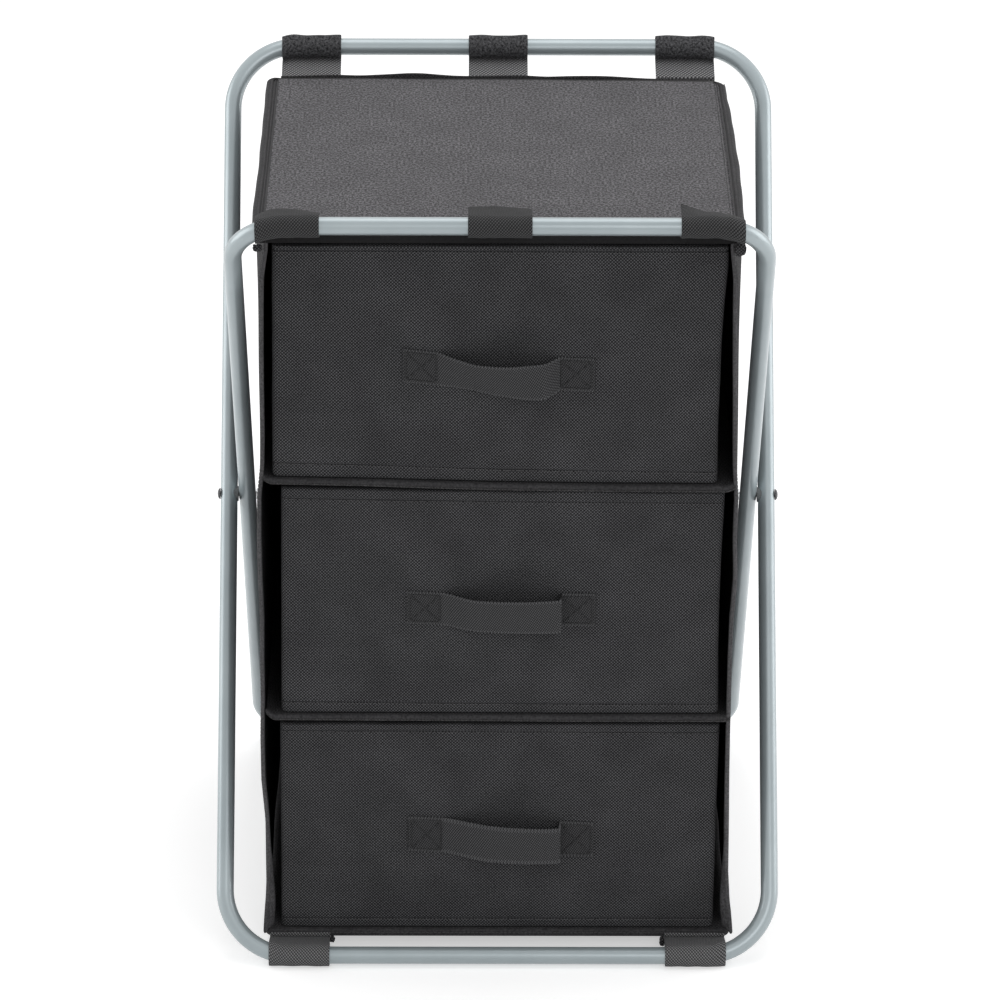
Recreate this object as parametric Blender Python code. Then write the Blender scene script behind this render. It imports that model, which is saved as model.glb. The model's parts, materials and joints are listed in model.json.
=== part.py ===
"""Drawer storage tower: a folding X-frame of two tube loops, a sewn fabric case and three drawers.

Metres, +Z up, +X to the right and -Y to the front. The origin is on the floor, midway between
the side tubes and below the pivot axis.
"""
import math

import bmesh
import bpy
from mathutils import Matrix, Vector

# Clearances
GAP = 0.0003

# Folding frame: centre-line sizes of the open frame
TUBE_DIAMETER = 0.0135
FRAME_WIDTH = 0.427
BAR_SPREAD = 0.411
BAR_RISE = 0.609
BEND_RADIUS = 0.040

# Pivot hardware
BOLT_DIAMETER = 0.0040
BOLT_HOLE_DIAMETER = 0.0046
HEAD_DIAMETER = 0.0090
HEAD_HEIGHT = 0.0022
NUT_DIAMETER = 0.0085
NUT_HEIGHT = 0.0034
NUT_CROWN = 0.0012
SPACER_DIAMETER = 0.0120
SPACER_WEB = 0.0004
SPACER_WING = 0.0030

# Straps
STRAP_WIDTH = 0.0475
STRAP_THICKNESS = 0.0012
BACK_TOP_STRAP_INSET = 0.0085
FRONT_TOP_STRAP_INSET = 0.0015
BOTTOM_STRAP_INSET = 0.0040
BACK_TOP_LANDING = 0.0050
BOTTOM_LANDING = 0.0120
STRAP_FLAP = 0.0210
STRAP_FLAP_DROP = 0.0015
STRAP_FLAT = 0.0004

# Fabric case: its distances from the frame, and its own sizes
CASE_SIDE_GAP = 0.0095
CASE_BAR_GAP = 0.0255
CASE_TOP_DROP = 0.0175
CASE_FLOOR_LIFT = 0.0030
PANEL_THICKNESS = 0.0060
FABRIC_THICKNESS = 0.0012
BOARD_THICKNESS = 0.0030
SIDE_THICKNESS = 0.0020
SIDE_HEM_THICKNESS = 0.0036
SIDE_HEM_DEPTH = 0.0060
PANEL_CORNER_RADIUS = 0.0080
PANEL_EDGE_BEVEL = 0.0014
MIDDLE_BAY_HEIGHT = 0.1925
BOTTOM_BAY_HEIGHT = 0.1810

# Drawers
DRAWER_SIDE_GAP = 0.00975
DRAWER_SETBACK = 0.0040
DRAWER_BACK_GAP = 0.0060
DRAWER_HEADROOM = 0.0030
DRAWER_WALL = 0.0025
DRAWER_FLOOR = 0.0025
DRAWER_CORNER_RADIUS = 0.0045
FRONT_BOARD_THICKNESS = 0.0020
FRONT_BOARD_MARGIN = 0.0120
BASE_BOARD_THICKNESS = 0.0025

# Drawer handles
WEBBING_WIDTH = 0.0270
WEBBING_THICKNESS = 0.0016
HANDLE_LENGTH = 0.1450
HANDLE_PATCH = 0.0265
HANDLE_BOW = 0.0160
HANDLE_BOW_POWER = 2.4
HANDLE_DROP = 0.0080

# Facets of the round shapes
TUBE_SIDES = 16
BEND_STEPS = 8
STRAP_STEPS = 18
STRAP_BEND_STATIONS = 3
TURNED_SIDES = 24
CORNER_STEPS = 4
HANDLE_STEPS = 14

# Sizes that follow from the ones above
TUBE_RADIUS = TUBE_DIAMETER / 2
PIVOT_GAP = 2 * GAP + SPACER_WEB
INNER_WIDTH = FRAME_WIDTH - 2 * (TUBE_DIAMETER + PIVOT_GAP)
LEAN = math.atan2(BAR_SPREAD, BAR_RISE)
LOOP_HALF_LENGTH = math.hypot(BAR_SPREAD, BAR_RISE) / 2
STRAP_BORE = (TUBE_RADIUS + GAP) / math.cos(math.pi / STRAP_STEPS)
STRAP_OUTSIDE = STRAP_BORE + STRAP_THICKNESS
STRAP_MIDDLE = STRAP_BORE + STRAP_THICKNESS / 2
BAR_HEIGHT = STRAP_OUTSIDE - STRAP_FLAT
PIVOT_HEIGHT = BAR_HEIGHT + BAR_RISE / 2
CASE_WIDTH = INNER_WIDTH - TUBE_DIAMETER - 2 * CASE_SIDE_GAP
CASE_DEPTH = BAR_SPREAD - 2 * CASE_BAR_GAP
CASE_INSIDE = CASE_WIDTH / 2 - SIDE_THICKNESS
CASE_BOTTOM = BAR_HEIGHT + CASE_FLOOR_LIFT
CASE_TOP = BAR_HEIGHT + BAR_RISE - CASE_TOP_DROP
LOWER_SHELF = CASE_BOTTOM + PANEL_THICKNESS + BOTTOM_BAY_HEIGHT
UPPER_SHELF = LOWER_SHELF + PANEL_THICKNESS + MIDDLE_BAY_HEIGHT
TOP_PANEL = CASE_TOP - PANEL_THICKNESS
TOP_BAY_HEIGHT = TOP_PANEL - PANEL_THICKNESS - UPPER_SHELF
DRAWER_WIDTH = 2 * (CASE_INSIDE - DRAWER_SIDE_GAP)


def clear_scene():
    """Remove what the scene holds, so that the file builds the same model each time."""
    for old in list(bpy.data.objects):
        bpy.data.objects.remove(old, do_unlink=True)


def make_material(name, colour, roughness, metallic=0.0):
    """A Principled material of one colour."""
    material = bpy.data.materials.new(name)
    material.use_nodes = True
    shader = material.node_tree.nodes["Principled BSDF"]
    shader.inputs["Base Color"].default_value = (*colour, 1.0)
    shader.inputs["Roughness"].default_value = roughness
    shader.inputs["Metallic"].default_value = metallic
    material.diffuse_color = (*colour, 1.0)
    return material


def add_empty(name, location, parent=None):
    """An empty on a joint's axis, which carries the pieces of one moving body."""
    empty = bpy.data.objects.new(name, None)
    bpy.context.scene.collection.objects.link(empty)
    empty.location = location
    if parent is not None:
        empty.parent = parent
        empty.matrix_parent_inverse = Matrix.Translation(-parent.location)
    return empty


def add_mesh(name, vertices, faces, material, carrier, smooth_angle=40.0):
    """One closed solid from points and faces, carried by a body's empty."""
    mesh = bpy.data.meshes.new(name)
    mesh.from_pydata([tuple(vertex) for vertex in vertices], [], faces)
    shape = bmesh.new()
    shape.from_mesh(mesh)
    bmesh.ops.recalc_face_normals(shape, faces=shape.faces)
    shape.to_mesh(mesh)
    shape.free()
    mesh.materials.append(material)
    mesh.shade_smooth()
    mesh.set_sharp_from_angle(angle=math.radians(smooth_angle))
    piece = bpy.data.objects.new(name, mesh)
    bpy.context.scene.collection.objects.link(piece)
    if carrier is not None:
        piece.parent = carrier
        piece.matrix_parent_inverse = Matrix.Translation(-carrier.location)
    return piece


def as_cutter(piece):
    """Mark a piece as a cutting tool that isn't part of the object."""
    piece.hide_render = True
    piece.display_type = "WIRE"
    return piece


def cut(piece, cutter):
    """Take the cutter's shape out of the piece."""
    boolean = piece.modifiers.new("cut", "BOOLEAN")
    boolean.operation = "DIFFERENCE"
    boolean.solver = "EXACT"
    boolean.object = cutter
    return piece


def add_bevel(piece, width, segments=2):
    """Round a piece's sharp edges."""
    bevel = piece.modifiers.new("round", "BEVEL")
    bevel.width = width
    bevel.segments = segments
    bevel.limit_method = "ANGLE"
    bevel.angle_limit = math.radians(50.0)
    return piece


def ring_faces(ring_count, ring_size, closed):
    """Quads that join each ring of points to the next, and end caps unless the rings close."""
    faces = []
    last = ring_count if closed else ring_count - 1
    for ring in range(last):
        start = ring * ring_size
        following = (ring + 1) % ring_count * ring_size
        for side in range(ring_size):
            other = (side + 1) % ring_size
            faces.append((start + side, start + other, following + other, following + side))
    if not closed:
        faces.append(tuple(range(ring_size)))
        faces.append(tuple(range((ring_count - 1) * ring_size, ring_count * ring_size)))
    return faces


def turned_piece(name, profile, centre, side, material, carrier):
    """A piece turned about an axis along X.

    The profile lists (distance along X, radius) from one pole to the other, and side is the
    direction in which its distances grow.
    """
    vertices = [Vector((centre[0] + side * profile[0][0], centre[1], centre[2]))]
    for along, radius in profile[1:-1]:
        for step in range(TURNED_SIDES):
            angle = 2 * math.pi * step / TURNED_SIDES
            offset = (side * along, radius * math.cos(angle), radius * math.sin(angle))
            vertices.append(Vector(centre) + Vector(offset))
    vertices.append(Vector((centre[0] + side * profile[-1][0], centre[1], centre[2])))
    rings = len(profile) - 2
    faces = []
    for step in range(TURNED_SIDES):
        other = (step + 1) % TURNED_SIDES
        faces.append((0, 1 + other, 1 + step))
        base = 1 + (rings - 1) * TURNED_SIDES
        faces.append((len(vertices) - 1, base + step, base + other))
    for ring in range(rings - 1):
        base = 1 + ring * TURNED_SIDES
        for step in range(TURNED_SIDES):
            other = (step + 1) % TURNED_SIDES
            upper = base + TURNED_SIDES
            faces.append((base + step, base + other, upper + other, upper + step))
    return add_mesh(name, vertices, faces, material, carrier)


def dome_profile(foot, radius, height, steps=4):
    """Points of a domed end from its rim up to its pole."""
    points = []
    for step in range(steps + 1):
        angle = math.pi / 2 * step / steps
        points.append((foot + height * math.sin(angle), radius * math.cos(angle)))
    return points


def rounded_outline(half_width, half_depth, radius, centre=(0.0, 0.0)):
    """Corners of a rectangle with round corners, counter-clockwise."""
    points = []
    for quarter, (sign_x, sign_y) in enumerate(((1, 1), (-1, 1), (-1, -1), (1, -1))):
        corner_x = centre[0] + sign_x * (half_width - radius)
        corner_y = centre[1] + sign_y * (half_depth - radius)
        for step in range(CORNER_STEPS + 1):
            angle = math.pi / 2 * (quarter + step / CORNER_STEPS)
            points.append((corner_x + radius * math.cos(angle), corner_y + radius * math.sin(angle)))
    return points


def extruded_piece(name, outline, bottom, top, material, carrier):
    """A plate or bar: an outline in X and Y, raised from bottom to top."""
    count = len(outline)
    vertices = [Vector((x, y, z)) for z in (bottom, top) for x, y in outline]
    return add_mesh(name, vertices, ring_faces(2, count, False), material, carrier)


def block(name, low, high, material, carrier):
    """A box between two corners."""
    outline = [(low[0], low[1]), (high[0], low[1]), (high[0], high[1]), (low[0], high[1])]
    return extruded_piece(name, outline, low[2], high[2], material, carrier)


# The frame

def lean_direction(sign):
    """Unit vector from a loop's bottom bar to its top bar, which leans back where sign is 1."""
    return Vector((0.0, sign * math.sin(LEAN), math.cos(LEAN)))


def loop_stations(half_width):
    """Centre line of a loop: (x, distance from the pivot along the loop, outward normal)."""
    stations = []
    for quarter, (sign_x, sign_s) in enumerate(((1, 1), (-1, 1), (-1, -1), (1, -1))):
        corner_x = sign_x * (half_width - BEND_RADIUS)
        corner_s = sign_s * (LOOP_HALF_LENGTH - BEND_RADIUS)
        for step in range(BEND_STEPS + 1):
            angle = math.pi / 2 * (quarter + step / BEND_STEPS)
            normal = (math.cos(angle), math.sin(angle))
            point = (corner_x + BEND_RADIUS * normal[0], corner_s + BEND_RADIUS * normal[1])
            stations.append((point, normal))
    return stations


def tube_loop(name, width, sign, radius, material, carrier):
    """One closed loop of tube with four bends, leaning back where sign is 1."""
    along = lean_direction(sign)
    across = Vector((1.0, 0.0, 0.0)).cross(along)
    pivot = Vector((0.0, 0.0, PIVOT_HEIGHT))
    vertices = []
    stations = loop_stations(width / 2)
    for (x, s), (normal_x, normal_s) in stations:
        centre = pivot + Vector((x, 0.0, 0.0)) + along * s
        outward = Vector((normal_x, 0.0, 0.0)) + along * normal_s
        for side in range(TUBE_SIDES):
            angle = 2 * math.pi * side / TUBE_SIDES
            offset = outward * (radius * math.cos(angle)) + across * (radius * math.sin(angle))
            vertices.append(centre + offset)
    faces = ring_faces(len(stations), TUBE_SIDES, True)
    return add_mesh(name, vertices, faces, material, carrier, 60.0)


def pivot_hardware(side_name, side, materials, carrier, cutters):
    """Bolt, cap nut and saddle spacer of one pivot; side is 1 on the right."""
    outer_face = FRAME_WIDTH / 2 + TUBE_RADIUS
    nut_seat = INNER_WIDTH / 2 - TUBE_RADIUS - GAP
    shank = BOLT_DIAMETER / 2
    centre = (0.0, 0.0, PIVOT_HEIGHT)
    tip = nut_seat - NUT_HEIGHT + NUT_CROWN + GAP
    head_seat = outer_face + GAP
    bolt = [(tip, 0.0), (tip, shank), (head_seat, shank)]
    bolt += dome_profile(head_seat, HEAD_DIAMETER / 2, HEAD_HEIGHT)
    turned_piece(f"pivot_bolt_{side_name}", bolt, centre, side, materials["bolt"], carrier)

    bore = shank + GAP
    inner_end = nut_seat - NUT_HEIGHT
    rim = inner_end + NUT_CROWN
    nut = [(rim, 0.0), (rim, bore), (nut_seat, bore), (nut_seat, NUT_DIAMETER / 2)]
    for along, radius in dome_profile(0.0, NUT_DIAMETER / 2, NUT_CROWN):
        nut.append((rim - along, radius))
    turned_piece(f"pivot_nut_{side_name}", nut, centre, side, materials["nut"], carrier)

    inner_side = INNER_WIDTH / 2 + TUBE_RADIUS + GAP
    outer_side = inner_side + SPACER_WEB + SPACER_WING
    rim = SPACER_DIAMETER / 2
    disc = [(inner_side, 0.0), (inner_side, rim), (outer_side, rim), (outer_side, 0.0)]
    spacer = turned_piece(f"pivot_spacer_{side_name}", disc, centre, side, materials["spacer"], carrier)
    for cutter in cutters:
        cut(spacer, cutter)


# Straps

def strap_section(edge, up, inward, turn, landing_length):
    """Middle line of a strap's section round a bar at the origin, with the points' count fixed.

    The strap is sewn on at edge, runs to the bar, goes round its far side in the direction of
    turn (1 is counter-clockwise) and comes back. It lies on its own tail for landing_length, or
    where that is None leaves the bar at the side that up points to and ends free, towards inward.
    """
    flap = landing_length is None
    first = math.atan2(edge.y, edge.x) + turn * math.acos(STRAP_MIDDLE / edge.length)
    start = Vector((math.cos(first), math.sin(first)))
    if flap:
        last = math.atan2(up.y, up.x)
    else:
        tail = (edge - start * STRAP_MIDDLE).normalized()
        landing = start * (STRAP_MIDDLE - STRAP_THICKNESS - GAP) + tail * landing_length
        last = math.atan2(landing.y, landing.x) - turn * math.acos(STRAP_MIDDLE / landing.length)
    sweep = (last - first) * turn % (2 * math.pi) * turn
    ring = []
    for step in range(STRAP_STEPS + 1):
        angle = first + sweep * step / STRAP_STEPS
        ring.append(Vector((math.cos(angle), math.sin(angle))) * STRAP_MIDDLE)
    end = ring[-1] + inward * STRAP_FLAP - up * STRAP_FLAP_DROP if flap else landing
    return [edge] + ring + [end]


def ribbon_outline(points):
    """Outline of a strap's section: one face out, the other back."""
    left = []
    right = []
    for index, point in enumerate(points):
        before = points[max(index - 1, 0)]
        after = points[min(index + 1, len(points) - 1)]
        tangent = (after - before).normalized()
        normal = Vector((-tangent.y, tangent.x)) * (STRAP_THICKNESS / 2)
        left.append(point + normal)
        right.append(point - normal)
    return left + right[::-1]


def strap_stations(low, high, straight):
    """Places along X for a strap's sections: closer together where the bar bends."""
    places = {low, high}
    for limit in (-straight, straight):
        if low < limit < high:
            places.add(limit)
            end = high if limit > 0 else low
            for step in range(1, STRAP_BEND_STATIONS):
                places.add(limit + (end - limit) * step / STRAP_BEND_STATIONS)
    return sorted(places)


def strap(name, spot, loop, edge, landing_length, materials, carrier):
    """A strap round one bar of a loop, sewn to an edge of the case.

    spot is the middle of its width along X. loop is (width, lean sign, 1 for the top bar or -1).
    Past the bar's straight stretch the section moves with the bend and stretches as the bend's
    own section does, and its sewn end stays on the edge.
    """
    width, sign, end_sign = loop
    lean = lean_direction(sign)
    along = Vector((lean.y, lean.z)) * end_sign
    across = Vector((-along.y, along.x))
    bar = Vector((0.0, PIVOT_HEIGHT)) + along * LOOP_HALF_LENGTH
    straight = width / 2 - BEND_RADIUS
    inward_sign = math.copysign(1.0, edge.x - bar.x)
    turn = -inward_sign * end_sign
    up = Vector((along.y, across.y))
    inward = Vector((along.x, across.x)) * inward_sign
    vertices = []
    stations = strap_stations(spot - STRAP_WIDTH / 2, spot + STRAP_WIDTH / 2, straight)
    for x in stations:
        bend = math.asin(max(abs(x) - straight, 0.0) / BEND_RADIUS)
        stretch = 1 / math.cos(bend)
        centre = bar - along * (BEND_RADIUS * (1 - math.cos(bend)))
        reach = edge - centre
        local_edge = Vector((reach.dot(along) / stretch, reach.dot(across)))
        outline = ribbon_outline(strap_section(local_edge, up, inward, turn, landing_length))
        for point in outline:
            place = centre + along * (point.x * stretch) + across * point.y
            vertices.append(Vector((x, place.x, max(place.y, 0.0))))
    count = len(outline)
    faces = []
    for station in range(len(stations) - 1):
        start = station * count
        for point in range(count):
            other = (point + 1) % count
            faces.append((start + point, start + other, start + count + other, start + count + point))
    for start in (0, (len(stations) - 1) * count):
        for point in range(count // 2 - 1):
            mate = count - 1 - point
            faces.append((start + point, start + point + 1, start + mate - 1, start + mate))
    return add_mesh(name, vertices, faces, materials["strap"], carrier)


def case_edge(front, upper):
    """Where a strap is sewn on: just outside a long, round edge of the case, in Y and Z."""
    y = CASE_DEPTH / 2 - PANEL_EDGE_BEVEL
    z = CASE_TOP - PANEL_EDGE_BEVEL if upper else CASE_BOTTOM + PANEL_EDGE_BEVEL
    middle = Vector((-y if front else y, z))
    outward = (middle - Vector((0.0, PIVOT_HEIGHT))).normalized()
    return middle + outward * (PANEL_EDGE_BEVEL + GAP + STRAP_THICKNESS / 2)


def all_straps(materials, outer, inner):
    """Three straps on each top bar and two on each bottom bar."""
    rows = (
        ("back_top", outer, (FRAME_WIDTH, 1, 1), BACK_TOP_STRAP_INSET, False, True, BACK_TOP_LANDING),
        ("front_top", inner, (INNER_WIDTH, -1, 1), FRONT_TOP_STRAP_INSET, True, True, None),
        ("front_bottom", outer, (FRAME_WIDTH, 1, -1), BOTTOM_STRAP_INSET, True, False, BOTTOM_LANDING),
        ("back_bottom", inner, (INNER_WIDTH, -1, -1), BOTTOM_STRAP_INSET, False, False, BOTTOM_LANDING),
    )
    for row, carrier, loop, inset, front, upper, landing_length in rows:
        edge = case_edge(front, upper)
        outside = CASE_WIDTH / 2 - inset - STRAP_WIDTH / 2
        for place, spot in (("left", -outside), ("middle", 0.0), ("right", outside)):
            if place == "middle" and not upper:
                continue
            strap(f"strap_{row}_{place}", spot, loop, edge, landing_length, materials, carrier)


# The case

def sleeve(name, half_width, front, back, bottom, corner_radius, materials, carrier):
    """A flat fabric sleeve, open along its back edge, and the board inside it."""
    middle = (0.0, (front + back) / 2)
    outline = rounded_outline(half_width, (back - front) / 2, corner_radius, middle)
    shell = extruded_piece(name, outline, bottom, bottom + PANEL_THICKNESS, materials["case"], carrier)
    add_bevel(shell, PANEL_EDGE_BEVEL)
    margin = corner_radius + FABRIC_THICKNESS
    low = (-half_width + margin, front + margin, bottom + FABRIC_THICKNESS)
    high = (half_width - margin, back + FABRIC_THICKNESS, bottom + PANEL_THICKNESS - FABRIC_THICKNESS)
    cut(shell, as_cutter(block(f"{name}_pocket", low, high, materials["case"], carrier)))
    board_bottom = bottom + (PANEL_THICKNESS - BOARD_THICKNESS) / 2
    board_low = (low[0] + GAP, low[1] + GAP, board_bottom)
    board_high = (high[0] - GAP, back - FABRIC_THICKNESS, board_bottom + BOARD_THICKNESS)
    block(f"{name}_board", board_low, board_high, materials["board"], carrier)


def side_panel(name, side, materials, carrier):
    """A side of the case in plan, with a folded hem along its front edge."""
    outer = CASE_WIDTH / 2
    inner = CASE_INSIDE
    middle = (outer + inner) / 2
    hem = SIDE_HEM_THICKNESS / 2
    front = -CASE_DEPTH / 2
    chamfer = SIDE_HEM_THICKNESS / 3
    plan = [
        (outer, CASE_DEPTH / 2),
        (inner, CASE_DEPTH / 2),
        (inner, front + SIDE_HEM_DEPTH + chamfer),
        (middle - hem, front + SIDE_HEM_DEPTH),
        (middle - hem, front + chamfer),
        (middle - hem + chamfer, front),
        (middle + hem - chamfer, front),
        (middle + hem, front + chamfer),
        (middle + hem, front + SIDE_HEM_DEPTH),
        (outer, front + SIDE_HEM_DEPTH + chamfer),
    ]
    outline = [(side * x, y) for x, y in plan]
    bottom = CASE_BOTTOM + PANEL_THICKNESS + GAP
    extruded_piece(name, outline, bottom, TOP_PANEL - GAP, materials["case"], carrier)


def fabric_case(materials, carrier):
    """Top, bottom, two shelves, two sides and a back."""
    half_depth = CASE_DEPTH / 2
    side_room = (SIDE_HEM_THICKNESS - SIDE_THICKNESS) / 2 + GAP
    shelf_half = CASE_INSIDE - side_room
    shelf_back = half_depth - FABRIC_THICKNESS - GAP
    sleeves = (
        ("case_top", CASE_WIDTH / 2, half_depth, TOP_PANEL, PANEL_CORNER_RADIUS),
        ("case_bottom", CASE_WIDTH / 2, half_depth, CASE_BOTTOM, PANEL_CORNER_RADIUS),
        ("upper_shelf", shelf_half, shelf_back, UPPER_SHELF, PANEL_EDGE_BEVEL),
        ("lower_shelf", shelf_half, shelf_back, LOWER_SHELF, PANEL_EDGE_BEVEL),
    )
    for name, half_width, back, bottom, corner_radius in sleeves:
        sleeve(name, half_width, -half_depth, back, bottom, corner_radius, materials, carrier)
    side_panel("case_left_side", -1, materials, carrier)
    side_panel("case_right_side", 1, materials, carrier)
    low = (-CASE_INSIDE + GAP, half_depth - FABRIC_THICKNESS, CASE_BOTTOM + PANEL_THICKNESS + GAP)
    high = (CASE_INSIDE - GAP, half_depth, TOP_PANEL - GAP)
    block("case_back", low, high, materials["case"], carrier)


# The drawers

def drawer_box(name, front, back, bottom, top, materials, carrier):
    """A sewn box, open at the top, with a pocket in its front wall for a stiffening board."""
    half_width = DRAWER_WIDTH / 2
    front_wall = 2 * DRAWER_WALL + FRONT_BOARD_THICKNESS + 2 * GAP
    outer_middle = (0.0, (front + back) / 2)
    outer = rounded_outline(half_width, (back - front) / 2, DRAWER_CORNER_RADIUS, outer_middle)
    inner_front = front + front_wall
    inner_back = back - DRAWER_WALL
    inner_radius = DRAWER_CORNER_RADIUS - DRAWER_WALL
    inner_middle = (0.0, (inner_front + inner_back) / 2)
    inner_half = (half_width - DRAWER_WALL, (inner_back - inner_front) / 2)
    inner = rounded_outline(*inner_half, inner_radius, inner_middle)
    floor = bottom + DRAWER_FLOOR
    rings = ((outer, bottom), (outer, top), (inner, top), (inner, floor))
    vertices = [Vector((x, y, z)) for outline, z in rings for x, y in outline]
    box = add_mesh(f"{name}_box", vertices, ring_faces(4, len(outer), False), materials["drawer"], carrier)

    pocket_front = front + DRAWER_WALL
    pocket_back = pocket_front + FRONT_BOARD_THICKNESS + 2 * GAP
    pocket_half = half_width - FRONT_BOARD_MARGIN
    low = (-pocket_half, pocket_front, bottom + FRONT_BOARD_MARGIN)
    high = (pocket_half, pocket_back, top + DRAWER_WALL)
    cut(box, as_cutter(block(f"{name}_pocket", low, high, materials["drawer"], carrier)))

    board_low = (low[0] + GAP, low[1] + GAP, low[2] + GAP)
    board_high = (high[0] - GAP, high[1] - GAP, top - DRAWER_WALL)
    block(f"{name}_front_board", board_low, board_high, materials["board"], carrier)

    base = rounded_outline(inner_half[0] - GAP, inner_half[1] - GAP, inner_radius, inner_middle)
    base_bottom = floor + GAP
    base_top = base_bottom + BASE_BOARD_THICKNESS
    extruded_piece(f"{name}_base_board", base, base_bottom, base_top, materials["board"], carrier)


def handle_bow(x):
    """How far the webbing stands off the drawer front at a distance x from the handle's middle."""
    reach = HANDLE_LENGTH / 2 - HANDLE_PATCH
    share = min(abs(x) / reach, 1.0)
    return HANDLE_BOW * (1 - share ** HANDLE_BOW_POWER)


def drawer_handle(name, front, middle, materials, carrier):
    """A pull handle of webbing, flat at both sewn ends and bowed between them."""
    reach = HANDLE_LENGTH / 2 - HANDLE_PATCH
    spots = [-HANDLE_LENGTH / 2]
    spots += [reach * (2 * step / HANDLE_STEPS - 1) for step in range(HANDLE_STEPS + 1)]
    spots.append(HANDLE_LENGTH / 2)
    line = [Vector((x, -handle_bow(x))) for x in spots]
    vertices = []
    for index, point in enumerate(line):
        before = line[max(index - 1, 0)]
        after = line[min(index + 1, len(line) - 1)]
        tangent = (after - before).normalized()
        normal = Vector((-tangent.y, tangent.x)) * (WEBBING_THICKNESS / 2)
        seat = front - GAP - WEBBING_THICKNESS / 2
        for side, height in ((1, -0.5), (1, 0.5), (-1, 0.5), (-1, -0.5)):
            place = point + normal * side
            y = min(seat + place.y, front - GAP)
            vertices.append(Vector((place.x, y, middle + height * WEBBING_WIDTH)))
    add_mesh(name, vertices, ring_faces(len(line), 4, False), materials["webbing"], carrier)


def drawers(materials, case):
    """Three drawers, one for each bay."""
    bays = (
        ("top_drawer", UPPER_SHELF, TOP_BAY_HEIGHT),
        ("middle_drawer", LOWER_SHELF, MIDDLE_BAY_HEIGHT),
        ("bottom_drawer", CASE_BOTTOM, BOTTOM_BAY_HEIGHT),
    )
    front = -CASE_DEPTH / 2 + DRAWER_SETBACK
    back = CASE_DEPTH / 2 - FABRIC_THICKNESS - DRAWER_BACK_GAP
    for name, shelf, bay_height in bays:
        bottom = shelf + PANEL_THICKNESS + GAP
        top = bottom + bay_height - DRAWER_HEADROOM
        middle = (bottom + top) / 2
        slide = add_empty(f"{name}_slide", (0.0, front, middle), case)
        drawer_box(name, front, back, bottom, top, materials, slide)
        drawer_handle(f"{name}_handle", front, middle - HANDLE_DROP, materials, slide)


def build():
    """The whole tower."""
    clear_scene()
    materials = {
        "tube": make_material("painted_tube", (0.50, 0.56, 0.57), 0.32, 0.35),
        "bolt": make_material("dark_bolt", (0.06, 0.06, 0.065), 0.4, 0.8),
        "nut": make_material("bright_nut", (0.62, 0.63, 0.64), 0.28, 1.0),
        "spacer": make_material("dark_nylon", (0.03, 0.03, 0.032), 0.5),
        "strap": make_material("strap_twill", (0.035, 0.036, 0.038), 0.85),
        "case": make_material("case_fabric", (0.085, 0.083, 0.088), 0.9),
        "drawer": make_material("drawer_fabric", (0.032, 0.032, 0.035), 0.88),
        "board": make_material("grey_board", (0.33, 0.31, 0.28), 0.9),
        "webbing": make_material("handle_webbing", (0.036, 0.036, 0.04), 0.85),
    }
    pivot = (0.0, 0.0, PIVOT_HEIGHT)
    outer = add_empty("outer_frame", pivot)
    case = add_empty("case_fold", pivot, outer)
    inner = add_empty("inner_frame_fold", pivot, case)

    outer_tube = tube_loop("outer_frame_tube", FRAME_WIDTH, 1, TUBE_RADIUS, materials["tube"], outer)
    inner_tube = tube_loop("inner_frame_tube", INNER_WIDTH, -1, TUBE_RADIUS, materials["tube"], inner)
    hole = BOLT_HOLE_DIAMETER / 2
    reach = FRAME_WIDTH / 2 + TUBE_DIAMETER
    drill_profile = [(-reach, 0.0), (-reach, hole), (reach, hole), (reach, 0.0)]
    drill = as_cutter(turned_piece("pivot_drill", drill_profile, pivot, 1, materials["spacer"], None))
    seat_radius = (TUBE_RADIUS + GAP) / math.cos(math.pi / TUBE_SIDES)
    seat = as_cutter(tube_loop("spacer_seat", FRAME_WIDTH, 1, seat_radius, materials["spacer"], None))
    cut(outer_tube, drill)
    cut(inner_tube, drill)
    pivot_hardware("left", -1, materials, outer, (seat, drill))
    pivot_hardware("right", 1, materials, outer, (seat, drill))
    all_straps(materials, outer, inner)
    fabric_case(materials, case)
    drawers(materials, case)


build()
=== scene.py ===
"""Looks of the drawer storage tower: its tubes, straps, fabric case, drawers and their finishes.

Metres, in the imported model's frame: +X right, -Y front, +Z up, with the floor at z = 0.
"""
import json
import math

import bmesh
import bpy
import numpy as np
from mathutils import Matrix, Vector


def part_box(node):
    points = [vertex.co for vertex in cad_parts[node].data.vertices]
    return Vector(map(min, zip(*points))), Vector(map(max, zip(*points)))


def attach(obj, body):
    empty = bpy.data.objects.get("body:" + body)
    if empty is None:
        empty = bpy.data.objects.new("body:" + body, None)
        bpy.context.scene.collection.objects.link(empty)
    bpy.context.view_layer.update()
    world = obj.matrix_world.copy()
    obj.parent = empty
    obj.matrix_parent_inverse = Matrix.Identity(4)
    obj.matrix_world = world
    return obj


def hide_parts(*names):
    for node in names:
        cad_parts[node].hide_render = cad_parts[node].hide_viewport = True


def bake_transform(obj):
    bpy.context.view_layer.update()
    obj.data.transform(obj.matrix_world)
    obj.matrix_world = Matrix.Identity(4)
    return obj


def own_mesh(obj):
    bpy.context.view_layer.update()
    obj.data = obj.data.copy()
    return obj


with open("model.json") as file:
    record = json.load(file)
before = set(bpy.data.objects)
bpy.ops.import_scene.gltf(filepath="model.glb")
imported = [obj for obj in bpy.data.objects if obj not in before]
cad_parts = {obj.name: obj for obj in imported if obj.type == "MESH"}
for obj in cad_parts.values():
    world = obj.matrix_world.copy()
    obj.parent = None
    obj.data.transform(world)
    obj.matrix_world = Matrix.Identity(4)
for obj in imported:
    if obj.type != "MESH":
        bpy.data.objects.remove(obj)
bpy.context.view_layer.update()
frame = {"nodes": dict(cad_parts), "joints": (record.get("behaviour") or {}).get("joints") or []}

# The frame's centre lines and the case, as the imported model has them
TUBE_RADIUS = 0.00675
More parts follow.
